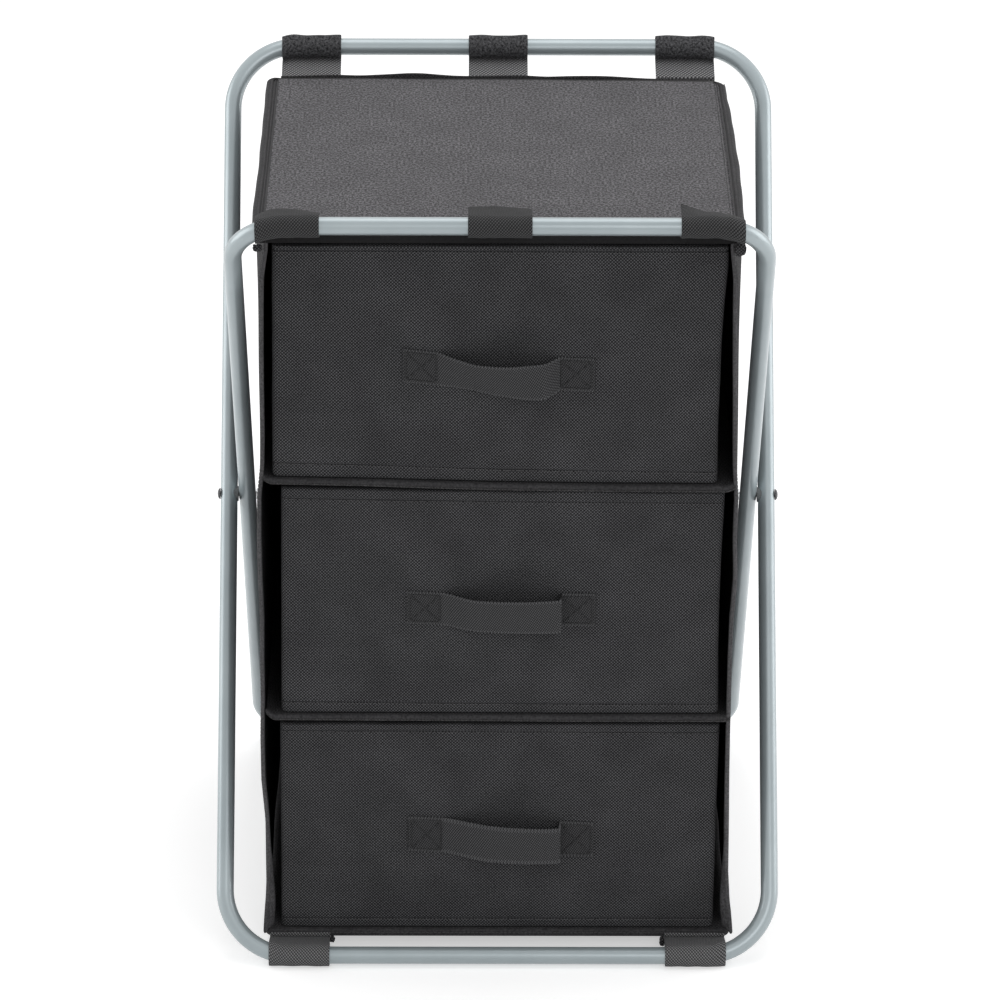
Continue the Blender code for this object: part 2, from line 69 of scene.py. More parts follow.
TUBE_SIDES = 48
BEND_STEPS = 29
BOLT_HOLE_RADIUS = 0.0023
BAR_SPREAD = 0.411
BAR_RISE = 0.609
OUTER_BEND = 0.052
INNER_BEND = 0.042
LEAN = math.atan2(BAR_SPREAD, BAR_RISE)
LOOP_HALF_LENGTH = math.hypot(BAR_SPREAD, BAR_RISE) / 2
OUTER_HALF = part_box("outer_frame_tube")[1][0] - TUBE_RADIUS
INNER_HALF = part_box("inner_frame_tube")[1][0] - TUBE_RADIUS
PIVOT = np.array(frame["joints"][0]["pos_m"], float)
CASE_LOW = np.array(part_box("case_bottom")[0])
CASE_HIGH = np.array(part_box("case_top")[1])
GAP = 0.0003

# Straps
STRAP_THICKNESS = 0.0012
STRAP_BORE = (TUBE_RADIUS + GAP) / math.cos(math.pi / 18)
STRAP_MIDDLE = STRAP_BORE + STRAP_THICKNESS / 2
BACK_TOP_LANDING = 0.0050
BOTTOM_LANDING = 0.0120
STRAP_FLAP = 0.0210
STRAP_FLAP_DROP = 0.0015
WRAP_STEPS = 41
PANEL_EDGE_ROUND = 0.0014

# Drawers and handles
DRAWER_WALL = 0.0025
DRAWER_FRONT_WALL = 0.0076
DRAWER_CORNER = 0.0045
HANDLE_LENGTH = 0.1450
HANDLE_PATCH = 0.0265
HANDLE_WIDTH = 0.0270
HANDLE_THICKNESS = 0.0016
HANDLE_BOW = 0.0160

# How far in from its edge a thin piece, or a wall of the case, is rounded
THIN_RIM = 0.0008
WALL_RIM = 0.001

# Distance between the pressed lines of the cloth, and their depth
CLOTH_PITCH = 0.0018
CLOTH_RELIEF = 0.00025

# Angle in degrees beyond which an edge is drawn sharp
CLOTH_CREASE = 45.0
ROUNDED_CREASE = 50.0
PANEL_CREASE = 55.0
SMALL_CREASE = 60.0


# Shapes worked out on grids

def spaced(low, high, count, rim=0.0):
    """Even values from low to high, with three more near each end where a rim is to be round."""
    values = np.linspace(low, high, count)
    if rim:
        near = rim * np.array([0.08, 0.35, 1.0])
        values = np.unique(np.concatenate([values, low + near, high - near]))
    return values


def rounded_off(values, rim):
    """1 inside, falling as a quarter circle to a fifth over the rim at both ends."""
    share = np.clip(np.minimum(values - values[0], values[-1] - values) / rim, 0, 1)
    return 0.2 + 0.8 * np.sqrt(share * (2 - share))


def smooth_step(value, low, high):
    """0 below low, 1 above high, and 3t^2 - 2t^3 between them."""
    share = np.clip((value - low) / (high - low), 0, 1)
    return share * share * (3 - 2 * share)


def bell(value, middle, reach):
    """exp(-((value - middle) / reach)^2): a bump or groove about reach wide on each side."""
    return np.exp(-(((value - middle) / reach) ** 2))


def ripple(x, y, size, seed):
    """Smooth unevenness between about -1 and 1: six seeded sine waves about size long, averaged."""
    random = np.random.default_rng(seed)
    total = np.zeros(np.broadcast(x, y).shape)
    for _ in range(6):
        heading = random.uniform(0, 2 * math.pi)
        phase = random.uniform(0, 2 * math.pi)
        length = size * random.uniform(0.7, 1.5)
        along = x * math.cos(heading) + y * math.sin(heading)
        total = total + np.sin(along * 2 * math.pi / length + phase)
    return total / 3


def packed_box(node):
    """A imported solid's lowest and highest corners."""
    low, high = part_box(node)
    return np.array(low), np.array(high)


def points_at(*axes):
    """The values of each axis, brought to one shape and set side by side as points."""
    return np.stack(np.broadcast_arrays(*axes), axis=-1)


def length_along(path):
    """Distance along a path of points, from the first to each of them."""
    steps = np.linalg.norm(np.diff(path, axis=0), axis=1)
    return np.concatenate([[0.0], np.cumsum(steps)])


def normals_of(surface):
    """Unit normals of a grid of points: the cross product of its slopes along rows and columns."""
    normal = np.cross(np.gradient(surface, axis=0), np.gradient(surface, axis=1))
    return normal / np.linalg.norm(normal, axis=-1, keepdims=True)


def mesh_grid(surface, flat, wrap=False):
    """Quads between the neighbours of a grid of points, with each corner's place on the cloth."""
    rows, columns = surface.shape[:2]
    row = np.arange(rows - 1)[:, None]
    column = np.arange(columns if wrap else columns - 1)[None, :]
    corners = [(row + down, column + right) for down, right in ((0, 0), (0, 1), (1, 1), (1, 0))]
    faces = np.stack([r * columns + c % columns for r, c in corners], axis=-1).reshape(-1, 4)
    places = np.stack([flat[r, c] for r, c in corners], axis=2).reshape(-1, 4, 2)
    return faces, places


def border_of(rows, columns):
    """The numbers of a grid's border points, once round."""
    top = np.arange(columns)
    right = np.arange(1, rows) * columns + columns - 1
    bottom = (rows - 1) * columns + np.arange(columns - 2, -1, -1)
    left = np.arange(rows - 2, 0, -1) * columns
    return np.concatenate([top, right, bottom, left])


def shell(front, back, flat):
    """A closed skin: a front grid, a back grid turned over, and a strip that joins their borders."""
    rows, columns = front.shape[:2]
    faces, places = mesh_grid(front, flat)
    behind = faces[:, ::-1] + rows * columns
    ring = border_of(rows, columns)
    after = np.roll(ring, -1)
    strip = np.stack([ring, ring + rows * columns, after + rows * columns, after], axis=-1)
    strip_places = flat.reshape(-1, 2)[strip % (rows * columns)]
    points = np.concatenate([front.reshape(-1, 3), back.reshape(-1, 3)])
    faces = np.concatenate([faces, behind, strip])
    return points, faces, np.concatenate([places, places[:, ::-1], strip_places])


def plate(x, y, upper, lower):
    """A closed plate over a grid in plan, between its upper and its lower height."""
    return shell(points_at(x, y, upper), points_at(x, y, lower), points_at(x, y))


def capped(surface, flat):
    """A closed part from rings of an even count of points: quads between them and a fan over each end."""
    rings, around = surface.shape[:2]
    faces, places = mesh_grid(surface, flat, wrap=True)
    fan = np.arange(1, around - 2, 2)
    caps = [np.stack([np.full_like(fan, base), base + fan, base + fan + 1, base + fan + 2], axis=-1)
            for base in (0, (rings - 1) * around)]
    faces = np.concatenate([faces, *caps])
    return surface.reshape(-1, 3), faces, np.concatenate([places, np.zeros((2 * len(fan), 4, 2))])


def cloth(middle, flat, thickness, row_swell, column_swell):
    """Closed cloth: the middle surface moved by half its thickness along its normal, to both sides."""
    half = np.broadcast_to(thickness, middle.shape[:2]) / 2 * row_swell[:, None] * column_swell[None, :]
    offset = normals_of(middle) * half[..., None]
    return shell(middle + offset, middle - offset, flat)


def gather(parts):
    """Parts joined into one: their points, faces and places, with the faces renumbered."""
    starts = np.cumsum([0] + [len(points) for points, _, _ in parts[:-1]])
    points = np.concatenate([part[0] for part in parts])
    faces = np.concatenate([part[1] + start for part, start in zip(parts, starts)])
    return points, faces, np.concatenate([part[2] for part in parts])


def add_object(name, data):
    """A mesh, lamp or camera put in the scene."""
    made = bpy.data.objects.new(name, data)
    bpy.context.scene.collection.objects.link(made)
    return made


def add_piece(name, part, finish, sharp=CLOTH_CREASE, marks=None):
    """A mesh piece at the origin from a part, with its faces turned outwards."""
    points, faces, places = part
    mesh = bpy.data.meshes.new(name)
    mesh.from_pydata(points.tolist(), [], faces.tolist())
    layer = mesh.uv_layers.new(name="cloth")
    layer.data.foreach_set("uv", places.reshape(-1).astype(np.float32))
    if marks is not None:
        attribute = mesh.attributes.new("mark", "FLOAT", "POINT")
        attribute.data.foreach_set("value", marks.reshape(-1).astype(np.float32))
    shape = bmesh.new()
    shape.from_mesh(mesh)
    bmesh.ops.recalc_face_normals(shape, faces=shape.faces)
    shape.to_mesh(mesh)
    shape.free()
    mesh.materials.append(finish)
    mesh.shade_smooth()
    mesh.set_sharp_from_angle(angle=math.radians(sharp))
    piece = add_object(name, mesh)
    return piece


def resampled(path, pitch):
    """Points a pitch apart along a path of points, measured along its length."""
    length = length_along(path)
    count = max(int(length[-1] / pitch), 1)
    spots = (np.arange(count) + 0.5) * length[-1] / count
    return np.stack([np.interp(spots, length, path[:, axis]) for axis in range(3)], axis=-1)


def stitches(path, outward, pitch=0.0032, length=0.0024, radius=0.00028):
    """A row of thread stitches: six-sided capsules along the path, half sunk in the cloth."""
    path = np.asarray(path, float)
    spots = resampled(path, pitch)
    ahead = resampled(path, pitch / 7)
    nearest = np.argmin(((spots[:, None] - ahead[None]) ** 2).sum(-1), axis=1)
    low = np.clip(nearest - 2, 0, len(ahead) - 1)
    high = np.clip(nearest + 2, 0, len(ahead) - 1)
    tangent = ahead[high] - ahead[low]
    tangent /= np.linalg.norm(tangent, axis=1, keepdims=True) + 1e-12
    outward = np.broadcast_to(np.asarray(outward, float), spots.shape)
    side = np.cross(tangent, outward)
    side /= np.linalg.norm(side, axis=1, keepdims=True) + 1e-12
    out = np.cross(side, tangent)
    shares = np.array([-0.5, -0.36, 0.36, 0.5])
    widths = np.array([0.45, 1.0, 1.0, 0.45]) * radius
    angle = np.arange(6) * math.pi / 3
    ring = (np.cos(angle)[:, None, None] * side + np.sin(angle)[:, None, None] * out).transpose(1, 0, 2)
    points = (spots[:, None, None] + shares[None, :, None, None] * length * tangent[:, None, None]
              + widths[None, :, None, None] * ring[:, None])
    rows = np.arange(3)[:, None] * 6
    turn = np.arange(6)[None, :]
    wall = np.stack([rows + turn, rows + (turn + 1) % 6, rows + 6 + (turn + 1) % 6, rows + 6 + turn], -1)
    ends = np.array([[0, 1, 2, 3], [0, 3, 4, 5], [18, 19, 20, 21], [18, 21, 22, 23]])
    one = np.concatenate([wall.reshape(-1, 4), ends])
    faces = (one[None] + np.arange(len(spots))[:, None, None] * 24).reshape(-1, 4)
    return points.reshape(-1, 3), faces, np.zeros((len(faces), 4, 2))


# Finishes

class Finish:
    """A material's node graph, with a short call for each kind of node it is made from."""

    def __init__(self, name, roughness, metallic=0.0):
        self.material = bpy.data.materials.new(name)
        self.material.use_nodes = True
        self.tree = self.material.node_tree
        self.shader = self.tree.nodes["Principled BSDF"]
        self.shader.inputs["Roughness"].default_value = roughness
        self.shader.inputs["Metallic"].default_value = metallic

    def node(self, kind, fed=(), **settings):
        made = self.tree.nodes.new(kind)
        for key, value in settings.items():
            setattr(made, key, value)
        for socket, value in fed:
            self.feed(made.inputs[socket], value)
        return made

    def feed(self, socket, value):
        if isinstance(value, bpy.types.NodeSocket):
            self.tree.links.new(value, socket)
        else:
            socket.default_value = value

    def sums(self, operation, first, second=0.0):
        return self.node("ShaderNodeMath", ((0, first), (1, second)), operation=operation).outputs[0]

    def times(self, first, second):
        return self.sums("MULTIPLY", first, second)

    def plus(self, first, second):
        return self.sums("ADD", first, second)

    def mark(self):
        return self.node("ShaderNodeAttribute", attribute_name="mark").outputs["Fac"]

    def place(self, kind="UV"):
        return self.node("ShaderNodeTexCoord").outputs[kind]

    def turned(self, vector, degrees, scale):
        fed = (("Vector", vector), ("Rotation", (0.0, 0.0, math.radians(degrees))), ("Scale", scale))
        return self.node("ShaderNodeMapping", fed).outputs[0]

    def noise(self, vector, size, detail=2.0, roughness=0.5):
        fed = (("Vector", vector), ("Scale", 1.0 / size), ("Detail", detail), ("Roughness", roughness))
        return self.node("ShaderNodeTexNoise", fed).outputs["Fac"]

    def spread(self, value, low, high, to_low=0.0, to_high=1.0):
        fed = (("Value", value), ("From Min", low), ("From Max", high),
               ("To Min", to_low), ("To Max", to_high))
        return self.node("ShaderNodeMapRange", fed).outputs["Result"]

    def along(self, vector, axis):
        return self.node("ShaderNodeSeparateXYZ", ((0, vector),)).outputs[axis]

    def waves(self, vector, degrees, pitch):
        """sin(2 pi distance / pitch), with the distance measured across lines at an angle."""
        return self.sums("SINE", self.along(self.turned(vector, degrees, (2 * math.pi / pitch,) * 3), "X"))

    def lines(self, vector, degrees, pitch):
        """|sin(pi distance / pitch)|: pressed lines a pitch apart, at an angle."""
        return self.sums("ABSOLUTE", self.waves(vector, degrees, pitch * 2))

    def beyond(self, vector, axis, limit):
        """1 where the size of one coordinate is over a limit, with a soft step."""
        return self.spread(self.sums("ABSOLUTE", self.along(vector, axis)), limit - 0.0003, limit + 0.0003)

    def colours(self, share, low, high):
        ends = [(*tone, 1.0) if isinstance(tone, tuple) else tone for tone in (low, high)]
        made = self.node("ShaderNodeMix", data_type="RGBA")
        for socket, value in zip(("Factor", "A", "B"), (share, *ends)):
            self.feed(made.inputs[socket], value)
        return made.outputs["Result"]

    def paint(self, colour):
        self.feed(self.shader.inputs["Base Color"], colour)

    def relief(self, height, depth, strength=1.0):
        made = self.node("ShaderNodeBump", (("Distance", depth), ("Strength", strength), ("Height", height)))
        self.feed(self.shader.inputs["Normal"], made.outputs["Normal"])


def embossed_cloth(name, dark, light, speckle, grain_size=0.0013, sheen=0.0, hems_and_painted_light=()):
    """Non-woven cloth pressed with diagonal lines both ways, with light fibres between them.

    The relief is |sin(pi a / pitch)| * |sin(pi b / pitch)|, where a and b run along the two
    diagonals. A hem, given as an axis, how far out it starts and its tone, is grained all round; on some
    cloths a hem band's tone is painted light or painted shade, as said where each cloth is made.
    """
    finish = Finish(name, 0.85)
    place = finish.place()
    one_way = finish.lines(place, 45.0, CLOTH_PITCH)
    other_way = finish.lines(place, -45.0, CLOTH_PITCH)
    press = finish.times(one_way, other_way)
    fibres = finish.noise(place, grain_size, 3.0, 0.7)
    grain = finish.spread(fibres, 0.44, 0.58)
    patches = finish.spread(finish.noise(place, 0.040, 3.0), 0.3, 0.7, 0.80, 1.12)
    share = finish.times(finish.spread(press, 0.28, 0.95), 1.0 - speckle)
    share = finish.plus(share, finish.times(grain, speckle))
    tone = finish.colours(finish.times(share, patches), dark, light)
    hem_grain = finish.noise(finish.place("Object"), 0.0018, 3.0)
    hem_share = finish.times(finish.spread(hem_grain, 0.3, 0.7, 0.25, 0.75), patches)
    # Each hem band is recoloured with its tone; on some cloths that tone is painted light or painted shade.
    for axis, limit, hem_tone_and_painted_light in hems_and_painted_light:
        pale = tuple(value * hem_tone_and_painted_light for value in light)
        deep = tuple(value * hem_tone_and_painted_light for value in dark)
        past = finish.beyond(place, axis, limit)
        tone = finish.colours(past, tone, finish.colours(hem_share, deep, pale))
        press = finish.times(press, finish.sums("SUBTRACT", 1.0, past))
    finish.paint(tone)
    finish.relief(finish.plus(press, fibres), CLOTH_RELIEF)
    finish.shader.inputs["Specular IOR Level"].default_value = 0.18
    finish.shader.inputs["Sheen Weight"].default_value = sheen
    finish.shader.inputs["Sheen Roughness"].default_value = 0.5
    return finish.material


def twill_cloth(name, dark, light, pitch, pile=None):
    """Strap cloth: diamond twill, |sin| * |sin| along both diagonals, its ribs heavier one way.

    Where the piece's mark is 1 the cloth is loop pile instead: coarse tufts with a deep relief.
    """
    finish = Finish(name, 0.85)
    place = finish.place()
    ribs = finish.lines(place, 42.0, pitch)
    breaks = finish.lines(place, -48.0, pitch)
    fibres = finish.noise(place, 0.0012, 4.0, 0.8)
    grain = finish.spread(fibres, 0.38, 0.68)
    weave = finish.times(ribs, finish.spread(breaks, 0.0, 1.0, 0.25, 1.0))
    shown = finish.spread(weave, 0.18, 0.90)
    share = finish.plus(finish.times(shown, 0.80), finish.times(grain, 0.20))
    tone = finish.colours(share, dark, light)
    height = finish.plus(weave, fibres)
    if pile:
        mark = finish.mark()
        tufts = finish.noise(place, 0.0019, 4.0, 0.75)
        tone = finish.colours(mark, tone, finish.colours(finish.spread(tufts, 0.38, 0.70), *pile))
        height = finish.plus(height, finish.times(finish.times(tufts, mark), 3.0))
    finish.paint(tone)
    finish.relief(height, CLOTH_RELIEF)
    finish.shader.inputs["Specular IOR Level"].default_value = 0.2
    return finish.material


def ribbed_webbing(name, dark, light):
    """Handle webbing: slanting ribs, dashed pale selvedges, and darker where the mark is 1."""
    finish = Finish(name, 0.78)
    place = finish.place()
    ribs = finish.lines(place, 32.0, 0.0015)
    cross = finish.lines(place, -52.0, 0.0017)
    weave = finish.times(ribs, finish.spread(cross, 0.0, 1.0, 0.35, 1.0))
    fibres = finish.noise(place, 0.0009, 3.0, 0.7)
    reach = HANDLE_WIDTH / 2
    from_middle = finish.sums("ABSOLUTE", finish.along(place, "Y"))
    edge = finish.spread(from_middle, reach - 0.0020, reach - 0.0009)
    dashes = finish.spread(finish.waves(place, 0.0, 0.0026), -0.4, 0.6)
    shown = finish.spread(weave, 0.22, 0.95)
    share = finish.plus(finish.times(shown, 0.75), finish.times(fibres, 0.12))
    share = finish.plus(share, finish.times(finish.times(edge, dashes), 0.3))
    tone = finish.colours(share, dark, light)
    finish.paint(finish.colours(finish.times(finish.mark(), 0.18), tone, dark))
    finish.relief(finish.plus(weave, fibres), 0.00022)
    finish.shader.inputs["Specular IOR Level"].default_value = 0.2
    return finish.material


def painted_tube():
    """Gloss grey paint on steel: a faint cloudy tone, fine orange peel and small rubbed specks."""
    finish = Finish("painted_tube_grey", 0.34, 0.30)
    place = finish.place("Object")
    cloud = finish.spread(finish.noise(place, 0.045, 3.0), 0.3, 0.7)
    specks = finish.spread(finish.noise(place, 0.0018, 2.0), 0.70, 0.78)
    tone = finish.colours(cloud, (0.350, 0.405, 0.425), (0.400, 0.457, 0.477))
    finish.paint(finish.colours(finish.times(specks, 0.25), tone, (0.50, 0.53, 0.53)))
    finish.relief(finish.noise(place, 0.0060, 2.0), 0.00003, 0.4)
    finish.shader.inputs["Coat Weight"].default_value = 0.4
    finish.shader.inputs["Coat Roughness"].default_value = 0.12
    return finish.material


def worn_metal(name, colour, bright, roughness, metallic):
    """Small hardware: turned metal or nylon with fine scratches and a slightly uneven tone."""
    finish = Finish(name, roughness, metallic)
    place = finish.place("Object")
    scratches = finish.noise(finish.turned(place, 20.0, (1.0, 9.0, 1.0)), 0.0025, 4.0, 0.6)
    finish.paint(finish.colours(finish.spread(scratches, 0.35, 0.75), colour, bright))
    finish.relief(scratches, 0.00003)
    return finish.material


def fibre_board():
    """Dark pressed board: short pale and dark fibres over a soft mottle."""
    finish = Finish("dark_fibre_board", 0.9)
    place = finish.place("Object")
    fibres = finish.noise(finish.turned(place, 15.0, (1.0, 4.0, 1.0)), 0.004, 5.0, 0.75)
    share = finish.spread(fibres, 0.3, 0.7)
    finish.paint(finish.colours(share, (0.026, 0.025, 0.024), (0.072, 0.070, 0.067)))
    finish.relief(fibres, 0.0001)
    return finish.material


def sewing_thread(name, dark, light):
    """Twisted polyester thread."""
    finish = Finish(name, 0.6)
    twist = finish.noise(finish.place("Object"), 0.0005, 1.0)
    finish.paint(finish.colours(twist, dark, light))
    finish.relief(twist, 0.00005)
    return finish.material


DRAWER_CLOTH = embossed_cloth("drawer_cloth", (0.002, 0.002, 0.0023), (0.155, 0.155, 0.163), 0.20)
CASE_CLOTH = embossed_cloth("case_cloth", (0.003, 0.003, 0.0035), (0.130, 0.127, 0.133), 0.30)
# The sides' cloth is painted light. Its dark tone is raised above the case cloth's. The bands beyond 171.2 mm
# of depth from the middle, its front hem among them, are 1.25 times lighter. This stands for light reaching
# into the narrow gaps beside the drawers.
SIDE_CLOTH_PAINTED_LIGHT = embossed_cloth("side_cloth_painted_light", (0.006, 0.006, 0.006), (0.130, 0.127, 0.133), 0.30,
                            hems_and_painted_light=(("X", 0.1712, 1.25),))
SHELF_CLOTH = embossed_cloth("shelf_cloth", (0.003, 0.003, 0.0035), (0.130, 0.127, 0.133), 0.30,
                             hems_and_painted_light=(("Y", 0.1765, 0.7), ("X", 0.1785, 0.7)))
# The top's cloth is painted light and shade. Its tone is raised well above the case cloth's to stand for the
# light from above. Its side flanges beyond 176.5 mm are painted darker for the shade of their folded seams.
# Its long edges beyond 173.8 mm are darkened to a tenth, painted shade under the front bar.
TOP_CLOTH_PAINTED_LIGHT_AND_SHADE = embossed_cloth("top_cloth_painted_light_and_shade", (0.022, 0.021, 0.023), (0.188, 0.182, 0.194), 0.88, 0.0019, 0.1,
                           hems_and_painted_light=(("X", 0.1765, 0.36), ("Y", 0.1738, 0.10)))
# The back hem's cloth is painted light. It has a raised dark tone and more pale grain than the case cloth, so
# that the standing hem does not go black in its shade.
HEM_CLOTH_PAINTED_LIGHT = embossed_cloth("top_hem_cloth_painted_light", (0.012, 0.012, 0.012), (0.085, 0.083, 0.086), 0.60)
WELT_CLOTH = embossed_cloth("welt_cloth", (0.015, 0.015, 0.015), (0.120, 0.117, 0.120), 0.60)
FINE_TWILL = twill_cloth("strap_fine_twill", (0.002, 0.002, 0.0025), (0.340, 0.340, 0.348), 0.0022,
                         pile=((0.008, 0.008, 0.009), (0.150, 0.150, 0.158)))
COARSE_TWILL = twill_cloth("strap_coarse_twill", (0.001, 0.001, 0.0012), (0.108, 0.108, 0.111), 0.0017)
LOW_TWILL = twill_cloth("strap_low_twill", (0.002, 0.002, 0.0025), (0.300, 0.300, 0.306), 0.0017)
WEBBING = ribbed_webbing("handle_webbing_cloth", (0.001, 0.001, 0.0012), (0.140, 0.140, 0.146))
TUBE_PAINT = painted_tube()
BOLT_METAL = worn_metal("dark_bolt_metal", (0.045, 0.045, 0.048), (0.16, 0.16, 0.165), 0.38, 0.8)
NUT_METAL = worn_metal("bright_nut_metal", (0.52, 0.53, 0.54), (0.72, 0.73, 0.74), 0.28, 1.0)
SPACER_NYLON = worn_metal("spacer_nylon", (0.090, 0.100, 0.104), (0.14, 0.15, 0.155), 0.5, 0.0)
BOARD = fibre_board()
DARK_THREAD = sewing_thread("dark_thread", (0.004, 0.004, 0.0045), (0.016, 0.016, 0.018))
GREY_THREAD = sewing_thread("grey_thread", (0.030, 0.030, 0.032), (0.095, 0.093, 0.095))


# How the pieces are carried

def on_case(piece, body="case", nodes=()):
    """A soft piece that rides on a body, with a mesh of its own; the imported nodes it stands for are hidden.
    """
    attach(piece, body)
    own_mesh(piece)
    if nodes:
        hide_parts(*nodes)


def on_case_and_loop(piece, nodes=()):
    """A piece of a panel with its placing baked into its mesh; the imported nodes it stands for are hidden.
    """
    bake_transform(piece)
    if nodes:
        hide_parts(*nodes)


# The frame

def lean_of(sign):
    """Unit vector up a loop, which leans back where sign is 1."""
    return np.array([0.0, sign * math.sin(LEAN), math.cos(LEAN)])


def tube_loop(name, half_width, sign, bend, body, node):
    """A closed tube: a circle carried round a rectangle with four quarter-circle bends."""
    along = lean_of(sign)
    across = np.cross([1.0, 0.0, 0.0], along)
    quarter = np.arange(4)[:, None]
    angle = (math.pi / 2 * (quarter + np.linspace(0, 1, BEND_STEPS)[None, :])).ravel()
    corner_x = np.repeat([1, -1, -1, 1], BEND_STEPS) * (half_width - bend)
    corner_s = np.repeat([1, 1, -1, -1], BEND_STEPS) * (LOOP_HALF_LENGTH - bend)
    x = corner_x + bend * np.cos(angle)
    s = corner_s + bend * np.sin(angle)
    centre = PIVOT + x[:, None] * np.array([1.0, 0.0, 0.0]) + s[:, None] * along
    outward = np.cos(angle)[:, None] * np.array([1.0, 0.0, 0.0]) + np.sin(angle)[:, None] * along
    turn = np.linspace(0, 2 * math.pi, TUBE_SIDES, endpoint=False)
    ring = np.cos(turn)[None, :, None] * outward[:, None] + np.sin(turn)[None, :, None] * across
    surface = centre[:, None] + TUBE_RADIUS * ring
    closed = np.concatenate([surface, surface[:1]])
    flat = np.zeros((len(closed), TUBE_SIDES + 1, 2))
    faces, places = mesh_grid(closed, flat, wrap=True)
    faces = faces % (len(surface) * TUBE_SIDES)
    piece = add_piece(name, (surface.reshape(-1, 3), faces, places), TUBE_PAINT, SMALL_CREASE)
    drill_pivots(piece)
    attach(piece, body)
    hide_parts(node)


def drill_pivots(tube):
    """Bore the bolt's holes through both legs of a loop."""
    mesh = bpy.data.meshes.new("drill")
    shape = bmesh.new()
    through = Matrix.Translation(PIVOT) @ Matrix.Rotation(math.pi / 2, 4, "Y")
    bmesh.ops.create_cone(shape, cap_ends=True, segments=32, radius1=BOLT_HOLE_RADIUS,
                          radius2=BOLT_HOLE_RADIUS, depth=0.6, matrix=through)
    shape.to_mesh(mesh)
    shape.free()
    drill = add_object("drill", mesh)
    hole = tube.modifiers.new("holes", "BOOLEAN")
    hole.operation = "DIFFERENCE"
    hole.solver = "EXACT"
    hole.object = drill
    bpy.context.view_layer.update()
    bored = bpy.data.meshes.new_from_object(tube.evaluated_get(bpy.context.evaluated_depsgraph_get()))
    tube.modifiers.clear()
    tube.data = bored
    bored.set_sharp_from_angle(angle=math.radians(ROUNDED_CREASE))
    bpy.data.objects.remove(drill)


def frame_pieces():
    """Both loops, with the hardware's own nodes in their metals."""
    tube_loop("outer_loop", OUTER_HALF, 1, OUTER_BEND, "outer_frame", "outer_frame_tube")
    tube_loop("inner_loop", INNER_HALF, -1, INNER_BEND, "inner_frame", "inner_frame_tube")
    for side in ("left", "right"):
        for part, finish in (("bolt", BOLT_METAL), ("nut", NUT_METAL), ("spacer", SPACER_NYLON)):
            node = frame["nodes"][f"pivot_{part}_{side}"]
            node.data.materials.clear()
            node.data.materials.append(finish)


# Straps

def strap_line(edge_a, edge_c, up, inward, turn, landing):
    """Middle line of a strap's section for each place along the bar, in the loop's own plane.

    From the sewn edge a straight run meets the circle round the bar as a tangent, goes round by
    turn, and either lies on its own run for the landing's length or, with none, leaves as a flap.
    """
    flap = landing is None
    distance = np.hypot(edge_a, edge_c)
    first = np.arctan2(edge_c, edge_a) + turn * np.arccos(STRAP_MIDDLE / distance)
    start_a, start_c = np.cos(first) * STRAP_MIDDLE, np.sin(first) * STRAP_MIDDLE
    run_a, run_c = edge_a - start_a, edge_c - start_c
    run = np.hypot(run_a, run_c)
    if flap:
        last = np.full_like(first, math.atan2(up[1], up[0]))
    else:
        share = (STRAP_MIDDLE - STRAP_THICKNESS - GAP) / STRAP_MIDDLE
        land_a = start_a * share + run_a / run * landing
        land_c = start_c * share + run_c / run * landing
        last = np.arctan2(land_c, land_a) - turn * np.arccos(STRAP_MIDDLE / np.hypot(land_a, land_c))
    sweep = np.mod((last - first) * turn, 2 * math.pi) * turn
    share = np.linspace(0, 1, WRAP_STEPS)[:, None]
    ring_a = np.cos(first + sweep * share) * STRAP_MIDDLE
    ring_c = np.sin(first + sweep * share) * STRAP_MIDDLE
    if flap:
        land_a = ring_a[-1] + inward[0] * STRAP_FLAP - up[0] * STRAP_FLAP_DROP
        land_c = ring_c[-1] + inward[1] * STRAP_FLAP - up[1] * STRAP_FLAP_DROP
    tail = spaced(0, 1, 12, 0.03)[:-1, None]
    reach = 0.70 if landing == BACK_TOP_LANDING else 1.0
    end = spaced(0, reach, 10, 0.03)[1:, None]
    line_a = np.concatenate([edge_a - run_a * tail, ring_a, ring_a[-1] + (land_a - ring_a[-1]) * end])
    line_c = np.concatenate([edge_c - run_c * tail, ring_c, ring_c[-1] + (land_c - ring_c[-1]) * end])
    return line_a, line_c


